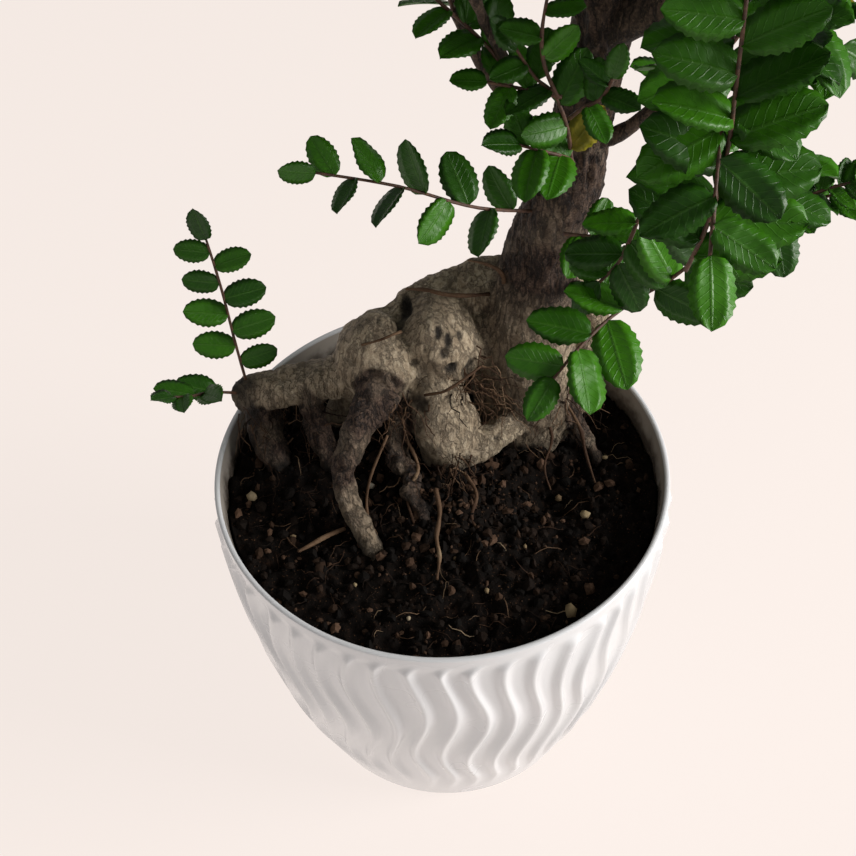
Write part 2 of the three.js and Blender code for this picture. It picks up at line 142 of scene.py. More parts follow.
def meshPiece(name, points, faces, materials, slots=None, uv=None, values=None, smooth=True):
    # vertices in millimetres become metres; faces is a list of index rows
    mesh = bpy.data.meshes.new(name)
    mesh.from_pydata((np.asarray(points) * mm).tolist(), [], [list(f) for f in faces])
    for material in materials:
        mesh.materials.append(material)
    if slots is not None:
        mesh.polygons.foreach_set("material_index", np.asarray(slots, dtype=np.int32))
    mesh.polygons.foreach_set("use_smooth", np.full(len(mesh.polygons), smooth))
    corners = np.empty(len(mesh.loops), dtype=np.int32)
    mesh.loops.foreach_get("vertex_index", corners)
    if uv is not None:
        layer = mesh.uv_layers.new(name="UVMap")
        layer.data.foreach_set("uv", np.asarray(uv, dtype=np.float32)[corners].ravel())
    for key, value in (values or {}).items():
        attribute = mesh.attributes.new(key, "FLOAT", "POINT")
        attribute.data.foreach_set("value", np.asarray(value, dtype=np.float32))
    mesh.update()
    piece = bpy.data.objects.new(name, mesh)
    bpy.context.collection.objects.link(piece)
    return piece


def gridFaces(rows, columns, wrap=True, start=0):
    # quad (row, column) joins corners r*n+c, r*n+c+1, (r+1)*n+c+1, (r+1)*n+c
    r, c = np.meshgrid(np.arange(rows - 1), np.arange(columns if wrap else columns - 1), indexing="ij")
    here, after = r * columns + start, (c + 1) % columns
    quads = np.stack([here + c, here + after, here + columns + after, here + columns + c], axis=-1)
    return quads.reshape(-1, 4).tolist()


def capFaces(first, columns, pole, upward):
    # triangles from a ring of the grid to its pole
    ring = list(range(first, first + columns))
    pairs = zip(ring, ring[1:] + ring[:1])
    return [[pole, a, b] if upward else [pole, b, a] for a, b in pairs]


def closedFaces(rows, columns, start=0):
    # the rings joined by quads, the first and the last closed to the two poles that follow the rings
    pole = start + rows * columns
    faces = gridFaces(rows, columns, start=start) + capFaces(start, columns, pole, False)
    return faces + capFaces(pole - columns, columns, pole + 1, True)


# shader maths: a socket that can be added, multiplied and so on

class Value:
    def __init__(self, finish, socket):
        self.finish = finish
        self.socket = socket

    def maths(self, operation, other=None, swapped=False):
        terms = [self] if other is None else ([other, self] if swapped else [self, other])
        return self.finish.node("ShaderNodeMath", {"operation": operation}, dict(enumerate(terms)))

    def part(self, number):
        return Value(self.finish, self.socket.node.outputs[number])

    def __add__(self, other):
        return self.maths("ADD", other)

    def __radd__(self, other):
        return self.maths("ADD", other, True)

    def __sub__(self, other):
        return self.maths("SUBTRACT", other)

    def __rsub__(self, other):
        return self.maths("SUBTRACT", other, True)

    def __mul__(self, other):
        return self.maths("MULTIPLY", other)

    def __rmul__(self, other):
        return self.maths("MULTIPLY", other, True)


class Finish:
    def __init__(self, name):
        self.material = bpy.data.materials.new(name)
        self.material.use_nodes = True
        self.tree = self.material.node_tree
        self.shader = self.tree.nodes["Principled BSDF"]

    def node(self, kind, settings=None, sockets=None, output=0):
        made = self.tree.nodes.new(kind)
        for key, value in (settings or {}).items():
            setattr(made, key, value)
        for key, value in (sockets or {}).items():
            if isinstance(value, Value):
                self.tree.links.new(value.socket, made.inputs[key])
            else:
                made.inputs[key].default_value = value
        return Value(self, made.outputs[output])

    def place(self, scale=(1, 1, 1)):
        spot = self.node("ShaderNodeTexCoord", output="Object")
        return self.node("ShaderNodeMapping", {}, {"Vector": spot, "Scale": scale})

    def uv(self):
        return self.node("ShaderNodeTexCoord", output="UV")

    def attribute(self, name):
        return self.node("ShaderNodeAttribute", {"attribute_name": name}, output="Fac")

    def noise(self, scale, detail=3, vector=None, rough=0.55):
        vector = vector or self.place()
        return self.node("ShaderNodeTexNoise", {}, {"Vector": vector, "Scale": scale, "Detail": detail,
                                                    "Roughness": rough})

    def step(self, value, start, end):
        return self.node("ShaderNodeMapRange", {"interpolation_type": "SMOOTHSTEP"},
                         {0: value, 1: start, 2: end})

    def ramp(self, value, stops):
        # stops as pairs of place and colour
        made = self.node("ShaderNodeValToRGB", {}, {0: value})
        elements = made.socket.node.color_ramp.elements
        while len(elements) < len(stops):
            elements.new(0.5)
        for element, (place, colour) in zip(elements, stops):
            element.position = place
            element.color = (*colour, 1)
        return made

    def mix(self, factor, a, b):
        a, b = [(*c, 1) if isinstance(c, tuple) else c for c in (a, b)]
        return self.node("ShaderNodeMix", {"data_type": "RGBA"}, {0: factor, 6: a, 7: b}, 2)

    def bump(self, height, strength, distance):
        return self.node("ShaderNodeBump", {}, {"Height": height, "Strength": strength, "Distance": distance})

    def finish(self, linked, fixed=None):
        for key, value in linked.items():
            self.tree.links.new(value.socket, self.shader.inputs[key])
        for key, value in (fixed or {}).items():
            self.shader.inputs[key].default_value = value
        return self.material


# camera and studio

shot = {
    "elevation": 50.42,          # degrees above the rim's plane
    "distance": 0.4,             # metres from the middle of the rim
    "focalPixels": 1131.0,       # focal length in pixels of an 856 pixel frame
    "aimPixel": (440.3, 461.2),  # where the middle of the rim falls
    "roll": 0.0267,
    "frameSize": 856.0,
    "sensor": 36,                # millimetres
    "rimHeight": 0.15,
}


def makeCamera(s):
    # looks at the rim's middle, then turned so that this point falls on aimPixel
    elevation = math.radians(s["elevation"])
    back = Vector((0, -math.cos(elevation), math.sin(elevation)))
    forward, right = -back, Vector((1, 0, 0))
    half, focal = s["frameSize"] / 2, s["focalPixels"]
    aim = Vector(((s["aimPixel"][0] - half) / focal, (half - s["aimPixel"][1]) / focal, 1))
    aim.normalize()
    pitch, yaw = math.asin(aim.y), math.atan2(aim.x, aim.z)
    up = right.cross(forward)
    tilt = Matrix.Rotation(-pitch, 3, right)
    forward, up = tilt @ forward, tilt @ up
    swing = Matrix.Rotation(yaw, 3, up)
    forward, right = swing @ forward, swing @ right
    lean = Matrix.Rotation(s["roll"], 3, forward)
    right, up = lean @ right, lean @ up
    data = bpy.data.cameras.new("camera")
    data.sensor_width = s["sensor"]
    data.lens = focal / s["frameSize"] * s["sensor"]
    data.clip_start = 0.01
    camera = bpy.data.objects.new("camera", data)
    bpy.context.collection.objects.link(camera)
    turn = Matrix((right, up, -forward)).transposed().to_4x4()
    spot = Vector((0, 0, s["rimHeight"])) + back * s["distance"]
    camera.matrix_world = Matrix.Translation(spot) @ turn
    bpy.context.scene.camera = camera


makeCamera(shot)

studio = {
    "floorColour": (0.965, 0.872, 0.82),
    "floorGlow": 0.89,           # share of the paper's own light, which keeps the ground even
    "floorLit": (0.12, 0.122),   # least and most share that the lights add, by the paper's grain
    "floorHalf": 3000.0,         # millimetres
    "worldColour": (0.97, 0.95, 0.94),
    "worldStrength": 0.23,
    "lightColour": (1, 0.97, 0.94),
    "aim": (0, 0, 0.15),
    "lights": {                  # place and size in metres, power in watts
        "keyLight": {"place": (0.95, -0.22, 0.6), "power": 13.5, "size": 0.45},
        "fillLight": {"place": (-0.7, -0.6, 0.9), "power": 0.6, "size": 0.9},
    },
}


def areaLight(name, place, power, size):
    data = bpy.data.lights.new(name, "AREA")
    data.energy, data.size, data.color = power, size, studio["lightColour"]
    lamp = bpy.data.objects.new(name, data)
    bpy.context.collection.objects.link(lamp)
    lamp.location = place
    lamp.rotation_euler = (Vector(studio["aim"]) - Vector(place)).to_track_quat("-Z", "Y").to_euler()


def makeStudio(s):
    half = s["floorHalf"]
    floor = meshPiece("floor", [[-half, -half, 0], [half, -half, 0], [half, half, 0], [-half, half, 0]],
                      [[0, 1, 2, 3]], [])
    paper = Finish("floorPaper")
    grain = paper.noise(40, 2)
    tone = s["floorColour"]
    least, most = [tuple(share * c for c in tone) for share in s["floorLit"]]
    colour = paper.mix(grain, least, most)
    floor.data.materials.append(paper.finish({"Base Color": colour}, {
        "Roughness": 0.9, "Specular IOR Level": 0.05, "Emission Color": (*tone, 1),
        "Emission Strength": s["floorGlow"]}))
    world = bpy.data.worlds.new("studio")
    world.use_nodes = True
    background = world.node_tree.nodes["Background"]
    background.inputs[0].default_value = (*s["worldColour"], 1)
    background.inputs[1].default_value = s["worldStrength"]
    bpy.context.scene.world = world
    for name, light in s["lights"].items():
        areaLight(name, **light)
    bpy.context.scene.view_settings.view_transform = "Standard"


makeStudio(studio)
print("camera and studio ready")


# pot

pot = {
    "rimRadius": 80.0, "height": 150.0, "footShare": 0.725, "footRounding": 8.0,
    "wall": 2.8, "rimWall": 1.9, "lipRise": 0.7, "floor": 6.0, "floorRounding": 8.0,
    "ribs": 48, "ribHeight": 1.56, "ribSway": 2.9, "ribWave": 76.0,
    "valley": 0.35,              # depth between two ribs, as a share of the crest's height
    "crestWidth": 0.2,           # share of a rib's pitch
    "ribsRise": (12, 50),        # heights between which the ribs grow out of the foot
    "ribsEnd": (141, 146),       # and between which they run out below the lip
    "flare": (140, 150),         # heights between which the wall thins towards the rim
    "late": (1.3, 0.4, 0.15),    # shift of the waves by two slow swings round the pot and by chance
    "reachChange": 0.2, "crestChange": 0.22, "seed": 5,
    "sideRings": (10, 141, 84), "upperRings": (142, 8), "innerRings": (20, 30),  # heights and numbers
    "columnsPerRib": 12,
    "white": [(0.745, 0.757, 0.775), (0.685, 0.697, 0.715)],  # light and shade of the glaze
    "inside": [(0.62, 0.57, 0.51), (0.44, 0.39, 0.34)],
    "insideDarkening": (0.147, 0.138),     # heights in metres between which the inside darkens
}


def roundedIn(height, radius):
    # r - sqrt(r^2 - (r - h)^2) below the height r, 0 above
    h = np.clip(height, 0, radius)
    return radius - np.sqrt(radius ** 2 - (radius - h) ** 2)


def outerRadius(z):
    # rim * (share + (1 - share) * (1 - (1 - z / height)^2)), less the rounded foot
    rise = 1 - (1 - z / pot["height"]) ** 2
    side = pot["rimRadius"] * (pot["footShare"] + (1 - pot["footShare"]) * rise)
    return side - roundedIn(z, pot["footRounding"])


def boreRadius(z):
    # outer radius less the wall, rounded in above the floor
    side = outerRadius(np.maximum(z, pot["footRounding"])) - pot["wall"]
    return side - roundedIn(z - pot["floor"], pot["floorRounding"])


def glazeMaterial(name, light, shade, insideDarkening=None):
    # clouded from shade to light; darkened below a wavy line where heights are given
    glaze = Finish(name)
    cloud = glaze.noise(30, 3)
    pits = glaze.noise(900, 2)
    colour = glaze.mix(cloud, shade, light)
    if insideDarkening:
        height = glaze.node("ShaderNodeSeparateXYZ", {}, {0: glaze.place()}).part(2)
        darkenedShare = glaze.step(height + (glaze.noise(120, 4) - 0.5) * 0.016, *insideDarkening)
        colour = glaze.mix(darkenedShare * 0.85, colour, (0.05, 0.033, 0.022))
    rough = 0.2 + cloud * 0.12
    normal = glaze.bump(pits, 0.08, 0.0003)
    return glaze.finish({"Base Color": colour, "Roughness": rough, "Normal": normal},
                        {"Coat Weight": 0.4, "Coat Roughness": 0.14})


def makePot(p):
    # ring radius R(z) + h * strength(z) * crest, the crest swayed along the ring by reach * wave(z)
    ribs, lip = p["ribs"], p["height"] - p["lipRise"]
    outerLevels = np.concatenate([p["footRounding"] * (1 - np.cos(np.linspace(0, np.pi / 2, 9))),
                                  np.linspace(*p["sideRings"]),
                                  np.linspace(p["upperRings"][0], lip, p["upperRings"][1])])
    columns = ribs * p["columnsPerRib"]
    turn = 2 * np.pi * np.arange(columns) / columns
    place = turn * ribs / (2 * np.pi)  # counted in ribs
    z = outerLevels[:, None]
    strength = ramp(z, *p["ribsRise"]) * (1 - ramp(z, *p["ribsEnd"]))
    rib = np.arange(ribs)
    late, swing, height = np.random.default_rng(p["seed"]).uniform(-1, 1, (3, ribs))

    def between(perRib):
        # value of each rib, blended evenly to the next one
        return np.interp(place, np.arange(ribs + 1), np.append(perRib, perRib[0]))

    slow, quick = np.sin(10 * np.pi * rib / ribs), np.sin(26 * np.pi * rib / ribs + 1)
    phase = between(p["late"][0] * slow + p["late"][1] * quick + p["late"][2] * late)
    reach = between(p["ribSway"] * (1 + p["reachChange"] * swing))
    wave = np.sin(2 * np.pi * z / p["ribWave"] + phase)
    sway = reach * wave * strength / p["rimRadius"]
    apart = np.abs((place + 0.5) % 1 - 0.5)
    width = p["crestWidth"] + 0.04 * np.sin(z * 0.09 + phase)
    crest = (1 + p["valley"]) * np.exp(-(apart / width) ** 2) - p["valley"]
    crest = crest * (1 + p["crestChange"] * between(height) * np.sin(z * 0.06 + phase))
    outer = turned(outerRadius(z) + p["ribHeight"] * crest * strength, turn + sway, z)
    lipMiddle = p["rimRadius"] - p["rimWall"] / 2
    bend = np.linspace(0.15, np.pi - 0.15, 9)
    lipR = lipMiddle + p["rimWall"] / 2 * np.cos(bend)
    lipZ = lip + p["lipRise"] * np.sin(bend)
    innerZ = np.concatenate([np.linspace(p["height"] - 1, *p["innerRings"]),
                             p["floor"] + p["floorRounding"] * (1 - np.sin(np.linspace(0, np.pi / 2, 8)))])
    innerR = boreRadius(innerZ) + ramp(innerZ, *p["flare"]) * (p["wall"] - p["rimWall"])
    rest = turned(np.concatenate([lipR, innerR])[:, None], turn, np.concatenate([lipZ, innerZ])[:, None])
    rings = np.concatenate([outer, rest])
    points = np.concatenate([rings.reshape(-1, 3), [[0, 0, 0], [0, 0, p["floor"]]]])
    outside = (len(outerLevels) + len(lipR)) * columns
    inside = (len(rings) - 1) * columns - outside
    slots = [0] * outside + [1] * inside + [0] * columns + [1] * columns
    made = meshPiece("potShell", points, closedFaces(len(rings), columns),
                     [glazeMaterial("whiteGlaze", *p["white"]),
                      glazeMaterial("insideGlaze", *p["inside"], p["insideDarkening"])], slots)
    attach(made, "root")
    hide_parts("pot")


makePot(pot)
print("pot made")


# soil

soil = {
    "level": 139.0, "gap": 0.5, "floor": 6.5, "columns": 360, "rings": 110,
    "clump": 7.0, "clumpHeight": 1.6, "crumb": 2.2, "crumbHeight": 0.9,
    "edgeLevel": 131.0,          # height at which the soil meets the wall
    "wallLevels": [6.5, 8, 12, 36, 76, 116],
    "bitsLevel": 137.0,          # height at which the bore bounds the loose bits
    "heaps": [                   # x, y, width, height, below 0 for a hollow
        [-4, -12, 24, 6], [-46, 16, 18, 5], [24, 36, 24, 3], [38, -6, 12, -7], [58, 20, 16, -4],
    ],
}


def soilHeight(x, y):
    # level + sum of height * exp(-distance^2 / width^2) + low waves, as in the solid model
    waves = 0.9 * np.sin(x * 0.23 + 1.2 * np.sin(y * 0.17)) * np.sin(y * 0.29 + 0.7)
    heaps = sum(height * np.exp(-((x - cx) ** 2 + (y - cy) ** 2) / width ** 2)
                for cx, cy, width, height in soil["heaps"])
    return soil["level"] + heaps + waves


def soilSurface(x, y):
    # soilHeight plus ridged noise at clump and crumb size
    spot = np.stack([x, y, np.zeros_like(x)], axis=-1)
    clumps = 1 - 2 * np.abs(fractal(spot, soil["clump"], 3, 5))
    crumbs = np.abs(fractal(spot, soil["crumb"], 2, 9))
    return soilHeight(x, y) + soil["clumpHeight"] * (clumps - 0.5) + soil["crumbHeight"] * crumbs


def soilMaterial():
    # dark peat in patches, with brown flecks
    peat = Finish("darkPeat")
    patches = peat.noise(260, 5, rough=0.65)
    flecks = peat.noise(1400, 2)
    colour = peat.ramp(patches, [(0.3, (0.0012, 0.0008, 0.0006)), (0.55, (0.0045, 0.0028, 0.002)),
                                 (0.72, (0.017, 0.009, 0.0055)), (0.9, (0.05, 0.03, 0.018))])
    colour = peat.mix(peat.step(flecks, 0.66, 0.74), colour, (0.1, 0.05, 0.025))
    normal = peat.bump(patches + flecks * 0.4, 0.9, 0.0012)
    return peat.finish({"Base Color": colour, "Roughness": 0.75 + patches * 0.3, "Normal": normal},
                       {"Specular IOR Level": 0.1})


def makeSoil(s):
    # the bore's shape less the gap up the wall, then rings across the top to the middle
    columns = s["columns"]
    turn = 2 * np.pi * np.arange(columns) / columns
    edge = float(boreRadius(np.array(s["edgeLevel"]))) - s["gap"]
    wallZ = np.array(s["wallLevels"])
    wallR = boreRadius(np.maximum(wallZ - s["gap"], pot["floor"])) - s["gap"]
    walls = turned(wallR[:, None], turn, wallZ[:, None])
    radius = edge * (1 - np.arange(s["rings"]) / s["rings"])
    x, y = radius[:, None] * np.cos(turn), radius[:, None] * np.sin(turn)
    tops = np.stack([x, y, soilSurface(x, y)], axis=-1)
    rings = np.concatenate([walls, tops])
    middle = np.zeros(1)
    poles = [[0, 0, s["floor"]], [0, 0, float(soilSurface(middle, middle)[0])]]
    points = np.concatenate([rings.reshape(-1, 3), poles])
    made = meshPiece("soilBody", points, closedFaces(len(rings), columns), [soilMaterial()])
    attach(made, "root")
    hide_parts("soil")


makeSoil(soil)
print("soil made")


# loose bits

def icosahedron():
    # twelve corners on the unit sphere and twenty faces
    g = (1 + 5 ** 0.5) / 2
    corners = [[-1, g, 0], [1, g, 0], [-1, -g, 0], [1, -g, 0], [0, -1, g], [0, 1, g], [0, -1, -g], [0, 1, -g],
               [g, 0, -1], [g, 0, 1], [-g, 0, -1], [-g, 0, 1]]
    faces = [[0, 11, 5], [0, 5, 1], [0, 1, 7], [0, 7, 10], [0, 10, 11], [1, 5, 9], [5, 11, 4], [11, 10, 2],
             [10, 7, 6], [7, 1, 8], [3, 9, 4], [3, 4, 2], [3, 2, 6], [3, 6, 8], [3, 8, 9], [4, 9, 5],
             [2, 4, 11], [6, 2, 10], [8, 6, 7], [9, 8, 1]]
    return unit(np.array(corners, dtype=float)), np.array(faces)


def manyLumps(centres, sizes, source, rough=0.3):
    # every lump is the same twenty-faced ball, each corner moved in or out and each axis scaled
    corners, faces = icosahedron()
    count = len(centres)
    shape = corners[None] * (1 + rough * source.uniform(-1, 1, (count, len(corners), 1)))
    shape = shape * (sizes[:, None, None] * source.uniform(0.6, 1.2, (count, 1, 3)))
    points = shape + centres[:, None]
    index = faces[None] + len(corners) * np.arange(count)[:, None, None]
    return points.reshape(-1, 3), index.reshape(-1, 3).tolist(), len(corners)


def manyTubes(paths, radius, sides=4):
    # ring of corners around every point of every path, with side and across square to the path
    along = unit(np.gradient(paths, axis=1))
    side = unit(np.cross(along, np.array([0.31, 0.52, 0.79])))
    ring = ringsAround(paths, radius[..., None], side, np.cross(along, side), sides)
    count, rows = paths.shape[:2]
    one = np.array(gridFaces(rows, sides))
    faces = one[None] + rows * sides * np.arange(count)[:, None, None]
    return ring.reshape(-1, 3), faces.reshape(-1, 4).tolist()


crumbs = {
    "count": 2600, "least": 0.35, "most": 2.3, "seed": 3, "inset": 2.5,
    "nearShare": 0.3,            # share of the crumbs that lie around the front roots
    "nearAt": (2, -14), "nearSpread": (15, 13),
}
grit = [  # x, y, size, tint: 0 tan, 1 white
    [-41, 9, 2.9, 1.0], [-68, -6, 2.0, 0.35], [-25, -5, 1.9, 0.6], [41, -57, 2.6, 0.25],
    [50, -17, 1.9, 0.3], [42, -5, 1.6, 0.12], [-33, -2, 1.3, 0.5], [14, -48, 1.1, 0.2], [-30, -44, 0.9, 0.3],
    [28, -30, 1.0, 0.15], [-52, -24, 1.0, 0.2], [60, 10, 1.2, 0.3], [-12, -58, 0.9, 0.4], [20, 60, 1.3, 0.7],
    [-50, 42, 1.4, 0.5], [4, -34, 1.2, 0.1], [-60, 14, 1.1, 0.8], [55, 38, 1.2, 0.6],
]
fibres = {
    "count": 260, "least": 4.0, "most": 15.0, "radius": 0.13, "rows": 7, "seed": 8,
    "inset": 9,                  # from the wall, for where they start
    "far": 72.5,                 # radius that no point of them lies outside
}
hairs = {
    "rows": 8, "radius": 0.26, "seed": 12, "far": 72, "sag": 0.25,
    "tufts": [                   # place, heading, count, reach
        [[8, 11, 181], [0.7, -0.5, -0.2], 34, 15], [[16, 16, 170], [0.6, -0.6, -0.5], 30, 14],
        [[4, -2, 152], [0, -0.6, -0.8], 34, 13], [[-15, 0, 178], [-0.1, -0.5, -0.9], 22, 14],
        [[-14, 4, 172], [0.5, -0.4, -0.8], 20, 12], [[-66, 14, 157], [0.1, -0.6, -0.8], 26, 14],
        [[-48, 14, 162], [0.2, -0.5, -0.9], 18, 13], [[33, 19, 156], [0.5, -0.6, -0.7], 30, 15],
        [[46, 22, 164], [0.3, -0.7, -0.7], 30, 17], [[-8, -12, 146], [0.2, -0.8, -0.5], 20, 11],
    ],
}
thinRoots = [  # x, y, z, radius along each
    [[-49.5, -32.5, 143, 0.5], [-45.5, -30, 143, 0.7], [-39.5, -26.5, 143.5, 0.8], [-33.5, -24, 144, 0.6]],
    [[-2.2, -14, 152, 0.9], [-0.9, -22, 149, 0.8], [-2.2, -30, 146, 0.7], [-1.4, -37, 144, 0.6],
     [-2.5, -44, 141, 0.4]],
    [[21, 29, 205, 1.0], [22, 24, 212, 0.75], [20.5, 22, 218, 0.6], [16, 21, 222, 0.45], [10, 21, 224, 0.3]],
    [[-10, 26, 208, 0.6], [-3.6, 22, 211, 0.6], [3, 20, 210.5, 0.7], [10.5, 22, 208, 0.7],
     [18, 27, 204, 0.6]],
    [[-25, 10.5, 198, 0.4], [-20, 9, 201, 0.5], [-15, 9.5, 203, 0.6], [-12, 12, 202, 0.5]],
    [[-5, 4, 180, 0.4], [2, 2, 184, 0.5], [8, 4, 187, 0.5], [14, 9, 188, 0.4]],
    [[-18, -3, 168, 0.5], [-24, -12, 158, 0.6], [-26, -18, 150, 0.5], [-25, -24, 143, 0.4]],
    [[44, 20, 160, 0.6], [50, 12, 152, 0.7], [52, 4, 146, 0.6], [55, -3, 139, 0.4]],
    [[36, 18, 158, 0.6], [40, 10, 150, 0.6], [37, 2, 143, 0.5], [39, -4, 137, 0.4]],
    [[-12, 2, 160, 0.7], [-8, -6, 154, 0.7], [-12, -14, 149, 0.6], [-10, -22, 143, 0.5]],
    [[8, -4, 148, 0.8], [12, -12, 146, 0.7], [10, -20, 143, 0.6], [14, -27, 140, 0.4]],
]


def bitMaterial(name, stops, rough, bumpiness):
    # colour along the ramp by the attribute "tint" and a little noise
    bit = Finish(name)
    grain = bit.noise(900, 3)
    colour = bit.ramp(bit.attribute("tint") + (grain - 0.5) * 0.25, stops)
    return bit.finish({"Base Color": colour, "Roughness": rough + grain * 0.1,
                       "Normal": bit.bump(grain, bumpiness, 0.0005)}, {"Specular IOR Level": 0.14})


def addBits(name, points, faces, tint, material, smooth=True):
    made = meshPiece(name, points, faces, [material], values={"tint": tint}, smooth=smooth)
    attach(made, "root")


def soilSpots(source, count, inset):
    # radius * sqrt(draw) gives an even spread over the soil, up to the inset from the wall
    radius = (float(boreRadius(np.array(soil["bitsLevel"]))) - inset) * np.sqrt(source.uniform(0, 1, count))
    turn = source.uniform(0, 2 * np.pi, count)
    return radius * np.cos(turn), radius * np.sin(turn)


def pulledIn(x, y, far):
    # straight in towards the axis, to the radius far, where the point lies outside it
    out = np.maximum(np.hypot(x, y) / far, 1)
    return x / out, y / out


def makeBits(c):
    # most crumbs are small: least + (most - least) * draw^3
    source = np.random.default_rng(c["seed"])
    count = c["count"]
    x, y = soilSpots(source, count, c["inset"])
    size = c["least"] + (c["most"] - c["least"]) * source.uniform(0, 1, count) ** 3
    near = source.uniform(0, 1, count) < c["nearShare"]
    x, y = [np.where(near, source.normal(middle, spread, count), every)
            for middle, spread, every in zip(c["nearAt"], c["nearSpread"], (x, y))]
    z = soilSurface(x, y) + 0.25 * size
    points, faces, each = manyLumps(np.column_stack([x, y, z]), size, source)
    tint = np.repeat(source.uniform(0, 1, count) ** 1.5, each)
    peat = bitMaterial("peatCrumb", [(0.1, (0.003, 0.002, 0.0014)), (0.5, (0.012, 0.007, 0.0045)),
                                     (0.8, (0.04, 0.022, 0.013)), (1.0, (0.1, 0.058, 0.037))], 0.8, 0.8)
    addBits("soilCrumbs", points, faces, tint, peat, smooth=False)
    stones = np.array(grit)
    spot = np.column_stack([stones[:, 0], stones[:, 1], soilSurface(stones[:, 0], stones[:, 1]) + 0.4])
    points, faces, each = manyLumps(spot, stones[:, 2], source, 0.18)
    stone = bitMaterial("paleGrit", [(0.0, (0.1, 0.055, 0.03)), (0.3, (0.3, 0.23, 0.13)),
                                     (0.6, (0.45, 0.4, 0.32)), (1.0, (0.75, 0.74, 0.7))], 0.75, 0.6)
    addBits("paleGrit", points, faces, np.repeat(stones[:, 3], each), stone)


def makeFibres(f):
    # x and y go on in a slowly turning heading, z follows the soil
    source = np.random.default_rng(f["seed"])
    count, rows = f["count"], f["rows"]
    startX, startY = soilSpots(source, count, f["inset"])
    length = source.uniform(f["least"], f["most"], count)
    heading = source.uniform(0, 2 * np.pi, count)[:, None]
    heading = heading + source.normal(0, 0.35, (count, rows)).cumsum(axis=1)
    step = (length / rows)[:, None]
    x = startX[:, None] + (step * np.cos(heading)).cumsum(axis=1)
    y = startY[:, None] + (step * np.sin(heading)).cumsum(axis=1)
    x, y = pulledIn(x, y, f["far"])
    lift = 0.5 + 0.9 * np.sin(np.pi * np.linspace(0, 1, rows)) * source.uniform(0, 1.3, (count, 1))
    paths = np.stack([x, y, soilSurface(x, y) + lift], axis=-1)
    taper = np.sin(np.pi * np.linspace(0.06, 0.94, rows)) ** 0.5
    thick = f["radius"] * source.uniform(0.6, 1.5, (count, 1)) * taper
    points, faces = manyTubes(paths, thick)
    tint = np.repeat(source.uniform(0, 1, count) ** 2, rows * 4)
    addBits("soilFibres", points, faces, tint, rootlet())


def makeHairs(h):
    # start near the tuft, step along heading + wander, and sag with the square of the way gone
    source = np.random.default_rng(h["seed"])
    rows, paths = h["rows"], []
    down = np.array([0, 0, -1])
    t = np.linspace(0, 1, rows)[None, :, None]
    for place, towards, count, reach in h["tufts"]:
        start = np.array(place) + source.normal(0, 1, (count, 3)) * np.array([4.5, 3, 4])
        heading = unit(np.array(towards) + source.normal(0, 0.55, (count, 3)))
        length = reach * source.uniform(0.4, 1.1, (count, 1, 1))
        wander = source.normal(0, 0.09, (count, rows, 3)).cumsum(axis=1) * length
        straight = start[:, None] + heading[:, None] * length * t
        paths.append(straight + wander + down * h["sag"] * length * t ** 2)
    paths = np.concatenate(paths)
    x, y = pulledIn(paths[..., 0], paths[..., 1], h["far"])
    paths = np.stack([x, y, np.maximum(paths[..., 2], soilSurface(x, y) + 0.2)], axis=-1)
    thick = h["radius"] * source.uniform(0.5, 1.4, (len(paths), 1)) * np.linspace(1, 0.35, rows)
    points, faces = manyTubes(paths, thick)
    tint = np.repeat(source.uniform(0, 0.75, len(paths)), rows * 4)
    addBits("rootHairs", points, faces, tint, rootlet())


def makeThinRoots():
    # thin roots between the large ones, tinted by noise
    parts = [partial(closedTube, smoothPath(line, 6), 8, rough=0.2, seed=5) for line in thinRoots]
    points, faces = gather(parts)
    addBits("thinRoots", points, faces, 0.55 + 0.25 * fractal(points, 9.0, 2, 3), rootlet())


def rootlet():
    # from dark to pale brown by the tint
    stops = [(0.0, (0.01, 0.006, 0.004)), (0.4, (0.05, 0.026, 0.015)), (0.7, (0.14, 0.085, 0.05)),
             (1.0, (0.32, 0.24, 0.15))]
    return bitMaterial("rootlet", stops, 0.7, 0.6)


# wood

trunk = [
    [31, 30, 128, 17], [31, 30, 150, 18.5], [31, 30, 168, 17.5], [31, 30, 184, 16.3],
    [33, 29, 203, 13.6], [35, 28, 221, 12], [38, 25, 242, 10.2], [42, 22, 263, 8.8],
    [43, 17, 286, 8.1], [44, 12, 307, 7.6], [43, 9, 323, 6.2], [39, 8, 339, 5],
    [35, 9, 352, 3.9], [32, 11, 363, 2.9], [31, 13, 372, 2],
]

lumps = [
    {"at": [-20, 19, 183], "size": [15.5, 14.5, 18]},
    {"at": [-1, 21, 187], "size": [14.5, 14, 20]},
    {"at": [-10, 24, 177], "size": [17, 14, 14]},
]

